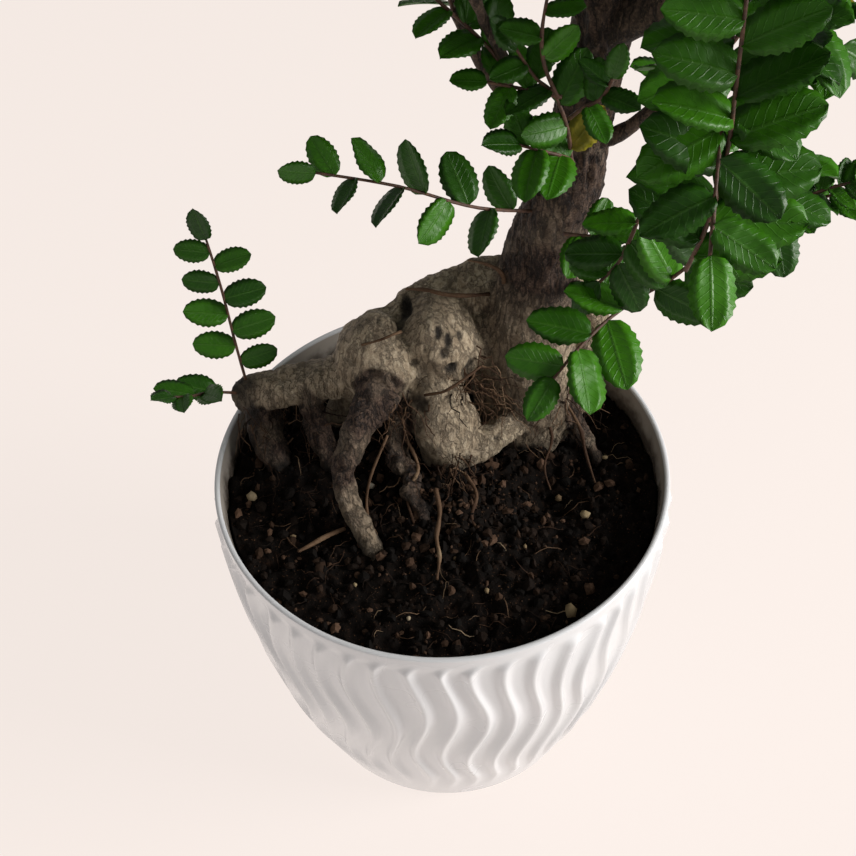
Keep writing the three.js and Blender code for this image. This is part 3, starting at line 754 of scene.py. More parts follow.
# each as rows of x, y, z and radius; the dark barked ones are named in darkRoots
roots = {
    "ridge": [[-16, 26, 192, 6], [-4, 32, 197, 7.5], [12, 35, 200, 8], [30, 32, 204, 9]],
    "saddle": [[-2, 24, 186, 12], [10, 29, 184, 11], [20, 31, 182, 12], [30, 31, 180, 14]],
    "sawnLimb": [[-24, 18, 178, 9], [-40, 20, 173, 8], [-54, 21, 168, 7.6], [-64, 23, 164, 7.8],
                 [-71, 24, 162, 7.4]],
    "limbRoot": [[-63, 20, 160, 6], [-63, 15, 150, 6], [-60, 10, 142, 5.4], [-54, 6, 132, 4.6]],
    "limbRootThin": [[-45, 17, 172, 4], [-44, 12, 158, 3.8], [-41, 8, 146, 3.6], [-38, 6, 134, 3]],
    "front": [[-20, 6, 182, 8], [-25, -1, 177, 6.4], [-30, -8, 170, 5], [-33, -12, 162, 4.2],
              [-32, -18, 153, 4], [-27, -26, 145, 3.8], [-21, -34, 134, 3.4]],
    "twisted": [[-9, 17, 172, 5], [-15, 6, 158, 3.9], [-15, -1, 153, 4.4], [-10, -6, 151, 2.8],
                [-11, -13, 148, 3.4], [-7, -18, 144, 2.4], [-6, -25, 138, 2.6]],
    "knuckle": [[-2, 16, 180, 8], [0, 11, 168, 9.5], [2, 8, 157, 11.5], [3, 9, 147, 9.5], [5, 8, 132, 8]],
    "elbow": [[8, 5, 148, 5.6], [18, 9, 151, 5.4], [27, 16, 153, 5.2], [33, 26, 154, 6]],
    "bulbBack": [[-18, 28, 178, 9], [-24, 40, 160, 7], [-28, 48, 146, 6], [-29, 52, 130, 5]],
    "bulbLeft": [[-24, 22, 174, 8], [-32, 26, 158, 6], [-37, 28, 145, 5], [-38, 28, 132, 4.4]],
    "archBack": [[36, 32, 198, 8], [50, 40, 194, 6.5], [56, 43, 181, 6], [54, 43, 166, 5.2],
                 [50, 41, 150, 4.6], [46, 39, 132, 4.2]],
    "trunkBack": [[26, 38, 166, 9], [18, 50, 150, 6.5], [10, 58, 138, 5.4], [6, 61, 128, 4.6]],
    "trunkRight": [[40, 26, 160, 6], [49, 18, 149, 3], [56, 12, 139, 2.2], [60, 8, 130, 1.8]],
    "paleThin": [[46, 26, 166, 3.4], [53, 27, 156, 2.7], [50, 23, 149, 2.4], [42, 16, 141, 2.2],
                 [38, 12, 132, 2]],
}
darkRoots = ("front", "limbRoot", "trunkRight", "limbRootThin", "twisted")

branches = {
    "left": [[34, 20, 268, 3], [27, 14, 277, 2.1], [20, 12, 288, 1.8], [13, 10, 300, 1.5], [6, 7, 316, 1.2]],
    "leftFork": [[20, 12, 288, 1.8], [19, 5, 302, 1.6], [14, 0, 316, 1.4], [8, -2, 329, 1.2]],
    "rightStub": [[44, 18, 268, 3], [52, 13, 275, 2.2], [59, 7, 286, 1.9], [66, 2, 297, 1.6],
                  [73, -1, 307, 1.3]],
    "rightLow": [[38, 24, 208, 3], [47, 14, 217, 2], [51, -2, 229, 1.7], [54, -18, 242, 1.5],
                 [56, -24, 247, 1.2]],
    "limbRight": [[44, 12, 306, 6], [56, 1, 319, 4.8], [70, -10, 328, 4], [86, -20, 335, 3.1],
                  [101, -27, 343, 2.2], [112, -31, 350, 1.5]],
    "limbLeft": [[42, 9, 326, 4], [28, 4, 339, 3], [12, 2, 348, 2.4], [-4, 2, 354, 1.9], [-17, 4, 358, 1.4]],
    "limbBack": [[43, 14, 298, 4], [42, 30, 311, 3.2], [38, 48, 321, 2.5], [34, 66, 329, 1.9],
                 [31, 80, 335, 1.4]],
    "limbBackRight": [[44, 13, 312, 4], [58, 28, 323, 2.9], [72, 44, 331, 2.2], [85, 57, 337, 1.5]],
    "limbBackLeft": [[40, 10, 332, 3.5], [24, 26, 341, 2.5], [8, 42, 347, 1.9], [-5, 55, 351, 1.4]],
    "limbFront": [[41, 7, 334, 3.5], [38, -10, 345, 2.5], [34, -28, 353, 1.9], [30, -42, 359, 1.4]],
    "limbTop": [[37, 9, 345, 3], [50, 5, 356, 2.2], [63, 1, 363, 1.7], [74, -2, 368, 1.3]],
    "limbLowBack": [[41, 25, 258, 3.4], [45, 42, 274, 2.3], [51, 58, 284, 1.8], [57, 73, 290, 1.3]],
}


def smoothPath(points, steps):
    # b + t/2 * ((c - a) + t * ((2a - 5b + 4c - d) + t * (3(b - c) + d - a))) between b and c
    p = np.asarray(points, dtype=float)
    last = len(p) - 1
    rows = []
    for i in range(last):
        a, b, c, d = p[max(i - 1, 0)], p[i], p[i + 1], p[min(i + 2, last)]
        t = (np.arange(steps + 1 if i == last - 1 else steps) / steps)[:, None]
        rows.append(b + 0.5 * t * ((c - a) + t * ((2 * a - 5 * b + 4 * c - d) + t * (3 * (b - c) + d - a))))
    return np.concatenate(rows)


def tubeGrid(path, sides, lobes=0.0, rough=0.0, seed=0):
    # rings of radius * (1 + lobes) plus noise, with their side carried along the path
    centre, radius = path[:, :3], path[:, 3]
    along = unit(np.gradient(centre, axis=0))
    side = np.array([0.0, 1, 0]) if abs(along[0][1]) <= 0.8 else np.array([1.0, 0, 0])
    carried = []
    for direction in along:
        side = unit(side - direction * side.dot(direction))
        carried.append(side)
    carried = np.array(carried)
    angle = 2 * np.pi * np.arange(sides) / sides
    lobe = 1 + lobes * (np.sin(3 * angle + 0.35 * np.arange(len(path))[:, None]) + np.sin(2 * angle - 0.2))
    ring = ringsAround(centre, radius[:, None] * lobe, carried, np.cross(along, carried), sides)
    if rough:
        out = unit(ring - centre[:, None])
        ring = ring + out * (rough * fractal(ring, 4.0, 3, seed))[..., None]
    return ring


def closedTube(path, sides, start=0, **shape):
    # the tube's rings with a middle point at both ends
    grid = tubeGrid(path, sides, **shape)
    points = np.concatenate([grid.reshape(-1, 3), path[:1, :3], path[-1:, :3]])
    return points, closedFaces(len(grid), sides, start)


def gather(parts):
    # several closed shapes in one list of points and faces
    points, faces, start = [], [], 0
    for make in parts:
        p, f = make(start=start)
        points.append(p)
        faces += f
        start += len(p)
    return np.concatenate(points), faces


def lumpGrid(spec, start=0, rows=40, columns=60):
    # sphere point times the three half sizes, dented by slow waves
    polar = np.pi * np.arange(1, rows) / rows
    turn = 2 * np.pi * np.arange(columns) / columns
    n = turned(np.sin(polar)[:, None], turn, -np.cos(polar)[:, None])
    n = np.concatenate([n.reshape(-1, 3), [[0, 0, -1], [0, 0, 1]]])
    x, y = spec["at"][:2]
    dent = 1 + 0.05 * np.sin(4 * n[:, 0] + 3 * n[:, 2] + x) + 0.04 * np.sin(5 * n[:, 1] - 4 * n[:, 2] + y)
    points = n * np.array(spec["size"]) * dent[:, None] + np.array(spec["at"])
    return points, closedFaces(rows - 1, columns, start)


def woodMaterial(name):
    # pale grey-tan root skin and dark fissured bark, mixed by the attribute "bark"
    wood = Finish(name)
    share = wood.attribute("bark")
    darkeningAndShade = wood.attribute("darkeningAndShade")
    grain = wood.noise(520, 6, wood.place((1, 1, 0.5)), 0.68)
    hatch = wood.noise(1500, 4, wood.place((1, 0.6, 1)), 0.7)
    blotch = wood.noise(90, 4)
    crackNoise = wood.noise(330, 5, wood.place((1, 1, 0.3)), 0.6)
    cracks = 1 - wood.step((crackNoise - 0.5).maths("ABSOLUTE"), 0.0, 0.055)
    pale = wood.ramp(grain * 0.6 + hatch * 0.4, [(0.3, (0.19, 0.14, 0.09)), (0.44, (0.33, 0.26, 0.175)),
                                                 (0.57, (0.52, 0.43, 0.305)), (0.72, (0.7, 0.6, 0.46))])
    pale = wood.mix(wood.step(blotch, 0.42, 0.66) * 0.5, pale, (0.2, 0.145, 0.09))
    pale = wood.mix(cracks * 0.35, pale, (0.05, 0.033, 0.022))
    deep = wood.ramp(grain * 0.5 + hatch * 0.5, [(0.34, (0.01, 0.006, 0.004)), (0.47, (0.045, 0.026, 0.018)),
                                                 (0.58, (0.115, 0.073, 0.05)), (0.72, (0.3, 0.215, 0.15))])
    deep = wood.mix(cracks * 0.85, deep, (0.008, 0.005, 0.004))
    colour = wood.mix(share, pale, deep)
    # painted shade in the dents, and darker near the soil and at the sawn end
    colour = wood.mix(darkeningAndShade, colour, (0.009, 0.006, 0.004))
    height = grain * 0.6 + hatch * 0.45 - cracks * 0.5
    normal = wood.bump(height, 1.0, 0.0014)
    return wood.finish({"Base Color": colour, "Roughness": 0.55 + grain * 0.3, "Normal": normal},
                       {"Specular IOR Level": 0.35})


def remeshed(piece, voxel, smoothing):
    # one skin over all the limbs, with the joints smoothed together
    fuse = piece.modifiers.new("fuse", "REMESH")
    fuse.mode = "VOXEL"
    fuse.voxel_size = voxel * mm
    fuse.adaptivity = 0
    soften = piece.modifiers.new("soften", "SMOOTH")
    soften.factor = 0.5
    soften.iterations = smoothing
    view = bpy.context.evaluated_depsgraph_get()
    mesh = bpy.data.meshes.new_from_object(piece.evaluated_get(view))
    piece.modifiers.clear()
    old = piece.data
    piece.data = mesh
    bpy.data.meshes.remove(old)


def readVectors(items, key, count):
    # one row of three numbers for each item
    flat = np.empty(count * 3, dtype=np.float32)
    items.foreach_get(key, flat)
    return flat.reshape(-1, 3).astype(float)


def pathDistance(points, path):
    # least distance to the path's points, less their radius
    best = np.full(len(points), 1e9)
    for row in path:
        best = np.minimum(best, np.linalg.norm(points - row[:3], axis=1) - row[3])
    return best


def barkShare(points):
    # 1 on the trunk above the root crown and on the dark roots, 0 on the pale bulb
    onTrunk = 1 - ramp(pathDistance(points, smoothPath(trunk, 4)), 0.5, 3.5)
    share = onTrunk * (0.35 + 0.65 * ramp(points[:, 2], 186, 216))
    for name in darkRoots:
        reach = 1 - ramp(pathDistance(points, smoothPath(roots[name], 4)), 0.4, 2.0)
        lower = 0.45 * (1 - ramp(points[:, 2], 150, 164)) if name == "front" else 0
        share = np.maximum(share, (0.95 - lower) * reach)
    return np.clip(share + 0.25 * fractal(points, 9.0, 3, 4), 0, 1)


wood = {
    "voxel": 0.8, "smoothing": 5, "trunkSides": 48, "sides": 28, "steps": 6,
    "branchSides": 16, "branchSteps": 8,
    "ridge": 0.85, "ridgeSize": 3.2,  # height and size of the bark's ridges, and so on
    "wrinkle": 0.7, "wrinkleSize": 6.0, "hatch": 0.35, "hatchSize": 2.6, "swell": 0.7, "swellSize": 14.0,
}

# marks in the root skin: x, y, z, half width, half height, depth
marks = [
    [-10.5, 26.5, 203, 1.3, 4.0, 1.6], [-11, 24, 199.5, 1.1, 4.4, 1.6], [-12.5, 19, 198.5, 1.1, 4.0, 1.5],
    [-10, 22.5, 201, 1.2, 5, 1.5], [-13, 15.5, 197.5, 0.8, 3.2, 0.9],
    [-6, 20.5, 203.5, 0.9, 1.4, 0.8], [5, 14.5, 202, 0.8, 1.0, 0.7], [-17, 11.5, 193, 0.9, 1.2, 0.8],
    [0.1, 10.5, 202.5, 1.1, 2.2, 1.2], [3.3, 10, 199.5, 1.2, 2.4, 1.3], [7.5, 13, 198.5, 1.0, 2.0, 1.2],
    [1.9, 8, 195.5, 1.3, 1.6, 1.6], [4.1, 8, 188.5, 1.8, 1.8, 2.4], [-8, 9.5, 190, 1.3, 1.6, 1.0],
    [-19.5, 17, 202, 0.9, 1.2, 0.8], [20, 6.5, 154.5, 1.2, 1.2, 0.7], [26.5, 13, 157.5, 1.2, 1.2, 0.7],
    [-4.3, 9, 196, 0.8, 1.6, 0.7], [-6.5, 7.5, 173.5, 2.6, 2.4, 2.0], [10.5, 12.5, 182, 2.2, 5, 1.6],
    [-14, 9.5, 186, 1.6, 4.0, 1.4],
]
markSpread = np.array([1.15, 2.2, 1.15])  # reach of a mark along x, y and z, in its half sizes
limbRings = [-45.5, -34, -53.5, -39, -58.5]  # x of each groove round the sawn limb


def dents(points):
    # depth * exp(-(dx / width)^2 - (dy / width)^2 - (dz / height)^2) at each mark, and the limb's grooves
    depth = np.zeros(len(points))
    for x, y, z, width, height, deep in marks:
        away = (points - np.array([x, y, z])) / (markSpread * np.array([width, width, height]))
        depth += deep * np.exp(-np.sum(away ** 2, axis=1))
    onLimb = ramp(-points[:, 0], 27, 32) * ramp(points[:, 2], 158, 163)
    for x in limbRings:
        depth += 0.45 * onLimb * np.exp(-((points[:, 0] - x + 0.12 * (points[:, 2] - 170)) / 0.8) ** 2)
    return depth


def weathered(mesh, w):
    # ridged noise on bark, fine wrinkles on root skin, low swells on both, less the dents, along the normal
    spot = readVectors(mesh.vertices, "co", len(mesh.vertices)) / mm
    normal = readVectors(mesh.vertex_normals, "vector", len(mesh.vertices))
    bark = barkShare(spot)
    ridges = 1 - 2 * np.abs(fractal(spot * np.array([1, 1, 0.32]), w["ridgeSize"], 3, 21))
    wrinkles = fractal(spot, w["wrinkleSize"], 4, 31)
    hatch = np.abs(fractal(spot * np.array([1, 1, 0.5]), w["hatchSize"], 2, 71))
    lift = w["ridge"] * bark * (ridges - 0.2) + (1 - bark) * (w["wrinkle"] * wrinkles + w["hatch"] * hatch)
    lift = lift + w["swell"] * fractal(spot, w["swellSize"], 2, 41)
    hollow = dents(spot)
    spot = spot + normal * (lift - hollow)[:, None]
    mesh.vertices.foreach_set("co", (spot * mm).astype(np.float32).ravel())
    mesh.polygons.foreach_set("use_smooth", np.full(len(mesh.polygons), True))
    # the second attribute holds the painted shade in the dents and the darkening near the soil and at the
    # sawn end
    for key, value in (("bark", bark), ("darkeningAndShade", darkeningAndShadeShare(spot, hollow))):
        mesh.attributes.new(key, "FLOAT", "POINT").data.foreach_set("value", value.astype(np.float32))


def darkeningAndShadeShare(points, hollow):
    # darker near the soil and at the sawn end, and painted shade in the dents, broken up by noise
    soilNear = 1 - ramp(points[:, 2] - soilHeight(points[:, 0], points[:, 1]), 0.5, 7.0)
    stump = ramp(-points[:, 0], 62, 67) * ramp(points[:, 2], 140, 152)
    # the dents' term paints shade into the hollows; the other two only darken near the soil and at the sawn
    # end
    share = 0.85 * soilNear + 0.8 * stump + 0.95 * ramp(hollow, 0.25, 0.8)
    return np.clip(share + 0.35 * fractal(points, 5.0, 3, 51) - 0.1, 0, 0.96)


def makeWood(w):
    # trunk, lumps and roots as closed shapes, made into one skin and weathered
    parts = [partial(closedTube, smoothPath(trunk, w["steps"]), w["trunkSides"], lobes=0.035)]
    parts += [partial(lumpGrid, spec) for spec in lumps]
    parts += [partial(closedTube, smoothPath(line, w["steps"]), w["sides"], lobes=0.05)
              for line in roots.values()]
    made = meshPiece("rootsAndTrunk", *gather(parts), [])
    remeshed(made, w["voxel"], w["smoothing"])
    weathered(made.data, w)
    made.data.materials.append(woodMaterial("barkAndRoot"))
    made.data.update()
    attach(made, "root")
    makeBranches(w)
    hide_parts("tree")
    print("wood triangles", 2 * len(made.data.polygons))


def makeBranches(w):
    # every branch as a closed rough tube, barked all over
    parts = [partial(closedTube, smoothPath(line, w["branchSteps"]), w["branchSides"], rough=0.35, seed=61)
             for line in branches.values()]
    points, faces = gather(parts)
    made = meshPiece("branches", points, faces, [woodMaterial("branchBark")],
                     values={"bark": np.full(len(points), 0.95), "darkeningAndShade": np.zeros(len(points))})
    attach(made, "root")


makeWood(wood)
makeBits(crumbs)
makeFibres(fibres)
makeHairs(hairs)
makeThinRoots()
print("wood and loose bits made")


# leaves

leafRule = {
    "twig": 0.8, "taper": 0.25,  # radius of a twig, and the share that it loses up to its tip
    "shape": 0.62, "broader": 1.1,
    "open": 58,                  # degrees between leaf and twig
    "rows": 16, "teeth": 8, "roll": 0.45,
    "ownGap": 0.55,              # share of its reach that a leaf keeps from its own twig's leaves
    "gap": 0.4,                  # what it keeps besides from any other piece
    "ballAt": (0.36, 0.62, 0.88), "ballSize": 0.42,
    "quilt": 0.16, "thick": 0.22,
}


def shoot(name, line, leaves, size, start, seed, up=(0, -0.5, 0.85), **more):
    # a leafy twig: its line, number and size of leaves, share of it before the first, and their upper side
    return {"name": name, "line": line, "leaves": leaves, "size": size, "from": start, "seed": seed, "up": up,
            **more}


shoots = [
    shoot("sprout_stump", [[-68, 23, 163], [-69, 22, 188], [-70, 23, 212], [-72, 25, 232]],
          8, 12.5, 0.24, 3, [0.1, -0.8, 0.6], open=76),
    shoot("sprout_low", [[-69, 23, 163], [-77, 9, 179], [-81, 0, 187], [-86, -5, 192]],
          4, 12, 0.3, 9, [-0.2, -0.3, 0.9]),
    shoot("spray_left", [[36, 24, 240], [13, 11, 252], [-10, 5, 265], [-32, 0, 274]],
          9, 13.5, 0.2, 21, [0, -0.6, 0.8], roll=1.1),
    shoot("spray_front", [[41, 21, 258], [37, 0, 276], [29, -6, 283], [22, -10, 288]],
          5, 14.5, 0.35, 31, [-0.2, -0.6, 0.8]),
    shoot("spray_right", [[37, 26, 228], [62, 17, 236], [80, 8, 246], [98, -3, 260], [114, -10, 272]],
          12, 10.5, 0.3, 41),
    shoot("spray_low_left", [[56, -23, 246.6], [46, -34, 249], [37, -43, 247], [30, -50, 243]],
          5, 16, 0.2, 51),
    shoot("spray_low_right", [[56, -23, 246.6], [62, -29, 258], [66, -35, 270], [70, -42, 284]],
          5, 15.5, 0.18, 61, [0, -0.8, 0.6]),
    shoot("spray_near", [[71, -11, 328], [64, -36, 329], [59, -58, 322], [55, -80, 309]],
          8, 17.5, 0.28, 71),
    shoot("spray_trunk", [[37, 25, 232], [48, 4, 243], [53, -6, 248]], 3, 12, 0.3, 81, [0, -0.7, 0.7]),
]

crown = {  # places of the side twigs along each branch
    "left": [0.7], "leftFork": [0.6], "rightStub": [0.66], "limbRight": [0.44, 0.62, 0.8],
    "limbLeft": [0.5, 0.8], "limbBack": [0.5, 0.8], "limbBackRight": [0.6], "limbBackLeft": [0.6],
    "limbFront": [0.6], "limbTop": [0.65], "limbLowBack": [0.6],
}
crownRule = {
    "length": 34, "angle": 62, "seat": 0.35, "seed": 11, "topSeed": 7, "from": 0.25, "leaves": 4,
    "size": 13, "sizes": {"rightStub": 12, "limbRight": 14, "top": 12}, "aged": 0.02,
}

# places already taken, as small balls: centre, radius, owner
takenAt, takenRadius, takenOwner = [], [], []


def takePath(path, owner):
    # rows of x, y, z and radius
    for row in path:
        takenAt.append(row[:3])
        takenRadius.append(row[3])
        takenOwner.append(owner)


def isFree(balls, owner):
    # no ball nearer to a taken one than their radii, plus a gap, or a share of that on its own twig
    at, radius = np.array(takenAt), np.array(takenRadius)
    mine = np.array([name == owner for name in takenOwner])
    for *centre, r in balls:
        reach = (r + radius) * np.where(mine, leafRule["ownGap"], 1) + np.where(mine, 0, leafRule["gap"])
        if np.any(np.linalg.norm(at - centre, axis=1) <= reach):
            return False
    return True


def pathPoint(path, share):
    # straight between the two points of the path around the share of its length
    place = min(share, 0.9999) * (len(path) - 1)
    k = int(place)
    return path[k] + (path[k + 1] - path[k]) * (place - k)


def pathAlong(path, share, reach):
    # direction from a little before the place to a little after it
    return unit(pathPoint(path, min(share + reach, 1))[:3] - pathPoint(path, max(share - reach, 0))[:3])


def crownSpray(branch, number, path, share, hand, seed):
    # leaves the branch at a fixed angle on one side, or goes on from its tip where hand is 0
    c = crownRule
    draw = randomFrom(seed)
    root = pathPoint(path, share)
    along = pathAlong(path, share, 0.08)
    side = unit(np.cross([0, 0, 1], along))
    angle = math.radians(c["angle"]) if hand else 0
    direction = along * math.cos(angle) + side * hand * math.sin(angle)
    direction[2] += 0.1 + 0.25 * draw()
    direction = unit(direction)
    stand = c["seat"]
    if hand:
        stand = root[3] / math.sin(angle) + c["seat"] + leafRule["twig"] * 0.6
    length = c["length"] * (0.85 + 0.3 * draw())
    line = []
    for k in range(4):
        p = root[:3] + direction * (stand + length * k / 3)
        if hand:
            p = p + along * 0.16 * length * (k / 3) ** 2
        p[2] += 0.1 * length * math.sin(math.pi * k / 3)
        line.append(p.tolist())
    return shoot("spray_%s_%s" % (branch, number), line, c["leaves"], c["sizes"].get(branch, c["size"]),
                 c["from"], seed, [0, 0, 1], steps=1, agedShare=c["aged"])


def placeLeaves(spray, crowded=False):
    # leaves left and right in turn along the twig, one at its tip; each as base, two directions and sizes
    draw = randomFrom(spray["seed"])
    last = len(spray["line"]) - 1
    rows = [[*p, leafRule["twig"] * (1 - leafRule["taper"] * k / last)] for k, p in enumerate(spray["line"])]
    path = smoothPath(rows, spray.get("steps", 2))
    upward = unit(np.array(spray["up"], dtype=float))
    placed = []
    for i in range(spray["leaves"] + 1):
        share = spray["from"] + (1 - spray["from"]) * i / spray["leaves"]
        at = pathPoint(path, share)[:3]
        along = pathAlong(path, share, 0.05)
        side = unit(np.cross(upward, along))
        hand = 1 if i % 2 else -1
        if i == spray["leaves"]:
            spread = 0.12 * hand
        else:
            spread = math.radians(spray.get("open", leafRule["open"]) + 14 * (draw() - 0.5))
        direction = along * math.cos(spread) + side * hand * math.sin(spread) + upward * 0.3 * (draw() - 0.4)
        direction = unit(direction)
        normal = upward + side * 0.6 * (draw() - 0.5)
        normal = unit(normal - direction * normal.dot(direction))
        length = spray["size"] * (0.8 + 0.3 * math.sin(math.pi * min(share + 0.1, 1)) + 0.14 * draw())
        leaf = {"at": at, "along": direction, "normal": normal, "length": length,
                "width": length * leafRule["shape"], "fold": 0.1 + 0.12 * draw(), "droop": 0.1 * draw()}
        ballRadius = leafRule["ballSize"] * leaf["width"]
        balls = [[*(at + direction * t * length), ballRadius] for t in leafRule["ballAt"]]
        if crowded or isFree(balls, spray["name"]):
            takePath(balls, spray["name"])
            placed.append(leaf)
    return placed, smoothPath(rows, 6)


def bladePoints(leaf, rows):
    # at + along * t * length + side * u * width + normal * (fold |u| + quilt - droop t^2)
    t = np.linspace(0, 1, rows + 1)
    body = np.sin(np.pi * t ** 0.95) ** 0.47
    tooth = (t * leafRule["teeth"]) % 1
    edge = body * (1 - 0.1 * np.where(tooth < 0.25, 1, 0) * ramp(t, 0.08, 0.2))  # a notch below each tooth
    edge[0], edge[-1] = 0.05, 0.03
    across = np.array([-1, -0.5, 0, 0.5, 1])
    half = leaf["width"] * leafRule["broader"] / 2
    u = across[None, :] * edge[:, None]
    inner = np.abs(across) * (1 - np.abs(across)) * 4
    quilt = leafRule["quilt"] * np.cos(2 * np.pi * (t[:, None] * 6 - np.abs(u) * 1.4)) * inner
    ripple = leaf["ripple"] * np.sin(2 * np.pi * t[:, None] * 1.3 + across) * np.abs(across)
    lift = (leaf["fold"] * np.abs(u) * half + 0.1 * half * np.sin(np.pi * np.abs(u)) + quilt + ripple * half
            - leaf["droop"] * leaf["length"] * t[:, None] ** 2)
    side = unit(np.cross(leaf["normal"], leaf["along"]))
    base = (leaf["at"] + leaf["along"] * (t * leaf["length"])[:, None])[:, None]
    top = base + side * (u * half)[..., None] + leaf["normal"] * (lift + leafRule["thick"] / 2)[..., None]
    depth = leafRule["thick"] * (1 - np.abs(across) ** 4)
    under = (top - leaf["normal"] * depth[None, :, None])[:, 1:-1]
    uv = np.stack(np.broadcast_arrays(across * 0.5 + 0.5, t[:, None]), axis=-1)
    return top, under, uv


def bladeFaces(rows, start, columns=5):
    # top grid, then the underside turned over; the underside takes its margins from the top grid
    top = gridFaces(rows + 1, columns, wrap=False, start=start)
    index = np.arange((rows + 1) * columns).reshape(-1, columns) + start
    inner = np.arange((rows + 1) * (columns - 2)).reshape(-1, columns - 2) + start + (rows + 1) * columns
    under = np.concatenate([index[:, :1], inner, index[:, -1:]], axis=1)
    quads = np.stack([under[:-1, :-1], under[1:, :-1], under[1:, 1:], under[:-1, 1:]], axis=-1)
    return top + quads.reshape(-1, 4).tolist()


def leafMaterial():
    # side veins run from the rib to the margin; the underside is paler and duller
    leafy = Finish("elmLeaf")
    uv = leafy.node("ShaderNodeSeparateXYZ", {}, {0: leafy.uv()})
    across = (uv - 0.5).maths("ABSOLUTE") * 2
    along = uv.part(1)
    wave = ((along * 9 - across * 2.4) * (2 * math.pi)).maths("COSINE")
    vein = leafy.step(wave, 0.8, 1.0) * leafy.step(across, 0.95, 0.8) * 0.6
    rib = leafy.step(across, 0.1, 0.02)
    tone = leafy.attribute("tone")
    under = leafy.attribute("under")
    yellow = leafy.attribute("yellow")
    mottle = leafy.noise(420, 4)
    dark = leafy.mix(mottle, (0.006, 0.034, 0.001), (0.016, 0.078, 0.002))
    bright = leafy.mix(mottle, (0.026, 0.13, 0.002), (0.058, 0.225, 0.004))
    colour = leafy.mix(tone, dark, bright)
    colour = leafy.mix((vein + rib * 1.2) * 0.3, colour, (0.06, 0.17, 0.02))
    pale = leafy.mix(mottle, (0.05, 0.11, 0.035), (0.11, 0.19, 0.08))
    pale = leafy.mix((vein + rib) * 0.5, pale, (0.14, 0.22, 0.1))
    colour = leafy.mix(under, colour, pale)
    aged = leafy.mix(leafy.step(mottle, 0.35, 0.7), (0.2, 0.19, 0.012), (0.4, 0.33, 0.04))
    colour = leafy.mix(yellow, colour, aged)
    rough = 0.32 + under * 0.3 + mottle * 0.14
    normal = leafy.bump((vein + rib) * (under * 2 - 1) * 0.7 + mottle * 0.4, 0.45, 0.0004)
    return leafy.finish({"Base Color": colour, "Roughness": rough, "Normal": normal},
                        {"Specular IOR Level": 0.3})


def twigMaterial():
    # young brown bark with fine grain
    twig = Finish("youngTwig")
    grain = twig.noise(700, 4)
    colour = twig.ramp(grain, [(0.3, (0.035, 0.015, 0.009)), (0.6, (0.11, 0.05, 0.028)),
                               (0.85, (0.2, 0.12, 0.07))])
    normal = twig.bump(grain, 0.5, 0.0004)
    return twig.finish({"Base Color": colour, "Roughness": 0.5 + grain * 0.3, "Normal": normal})


elmLeaf, youngTwig = leafMaterial(), twigMaterial()


def rolled(leaf, draw, most):
    # the blade turned about its own length by up to most radians, bent and rippled a little more
    angle = most * (2 * draw() - 1)
    side = np.cross(leaf["normal"], leaf["along"])
    return {**leaf, "normal": unit(leaf["normal"] * math.cos(angle) + side * math.sin(angle)),
            "droop": leaf["droop"] + 0.12 * draw(), "ripple": 0.16 * (draw() - 0.3)}


def makeSpray(name, leaves, paths, replaced=None, yellowShare=0.03, roll=leafRule["roll"], thin=0.72,
              rows=leafRule["rows"]):
    # twigs and leaves in one mesh, each leaf with its own tone
    draw = randomFrom(sum(ord(c) for c in name) * 77)
    points, faces, slots, uvs, values, start = [], [], [], [], [], 0

    def add(p, f, slot, uv, *tones):
        nonlocal start, faces, slots
        points.append(p)
        faces += f
        slots += [slot] * len(f)
        uvs.append(uv)
        values.append([np.broadcast_to(value, (len(p),)) for value in tones])
        start += len(p)

    for path in paths:
        slim = path * np.array([1, 1, 1, thin])
        tube, tubeFaces = closedTube(slim, 7, start, rough=0.06, seed=3)
        add(tube, tubeFaces, 1, np.zeros((len(tube), 2)), 0.0, 0.0, 0.0)
    for leaf in leaves:
        top, under, uv = bladePoints(rolled(leaf, draw, roll), rows)
        blade = np.concatenate([top.reshape(-1, 3), under.reshape(-1, 3)])
        flat = np.concatenate([uv.reshape(-1, 2), uv[:, 1:-1].reshape(-1, 2)])
        isUnder = np.arange(len(blade)) >= top[..., 0].size
        add(blade, bladeFaces(rows, start), 0, flat, draw(), isUnder, leaf.get("aged", draw() < yellowShare))
    made = meshPiece(name, np.concatenate(points), faces, [elmLeaf, youngTwig], slots, np.concatenate(uvs),
                     dict(zip(("tone", "under", "yellow"), np.concatenate(values, axis=1, dtype=float))))
    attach(made, "root")
    if replaced:
        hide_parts(replaced)


def leafBetween(foot, tip, share, draw):
    # one blade from its foot to its tip, its face turned up and a little towards the front
    length = float(np.linalg.norm(tip - foot))
    along = (tip - foot) / length
    normal = unit(np.array([0.3 * (draw() - 0.5), -0.5, 0.85]))
    normal = unit(normal - along * normal.dot(along))
    return {"at": foot, "along": along, "normal": normal, "length": length, "width": length * share,
            "fold": 0.1 + 0.12 * draw(), "droop": 0.08 * draw()}


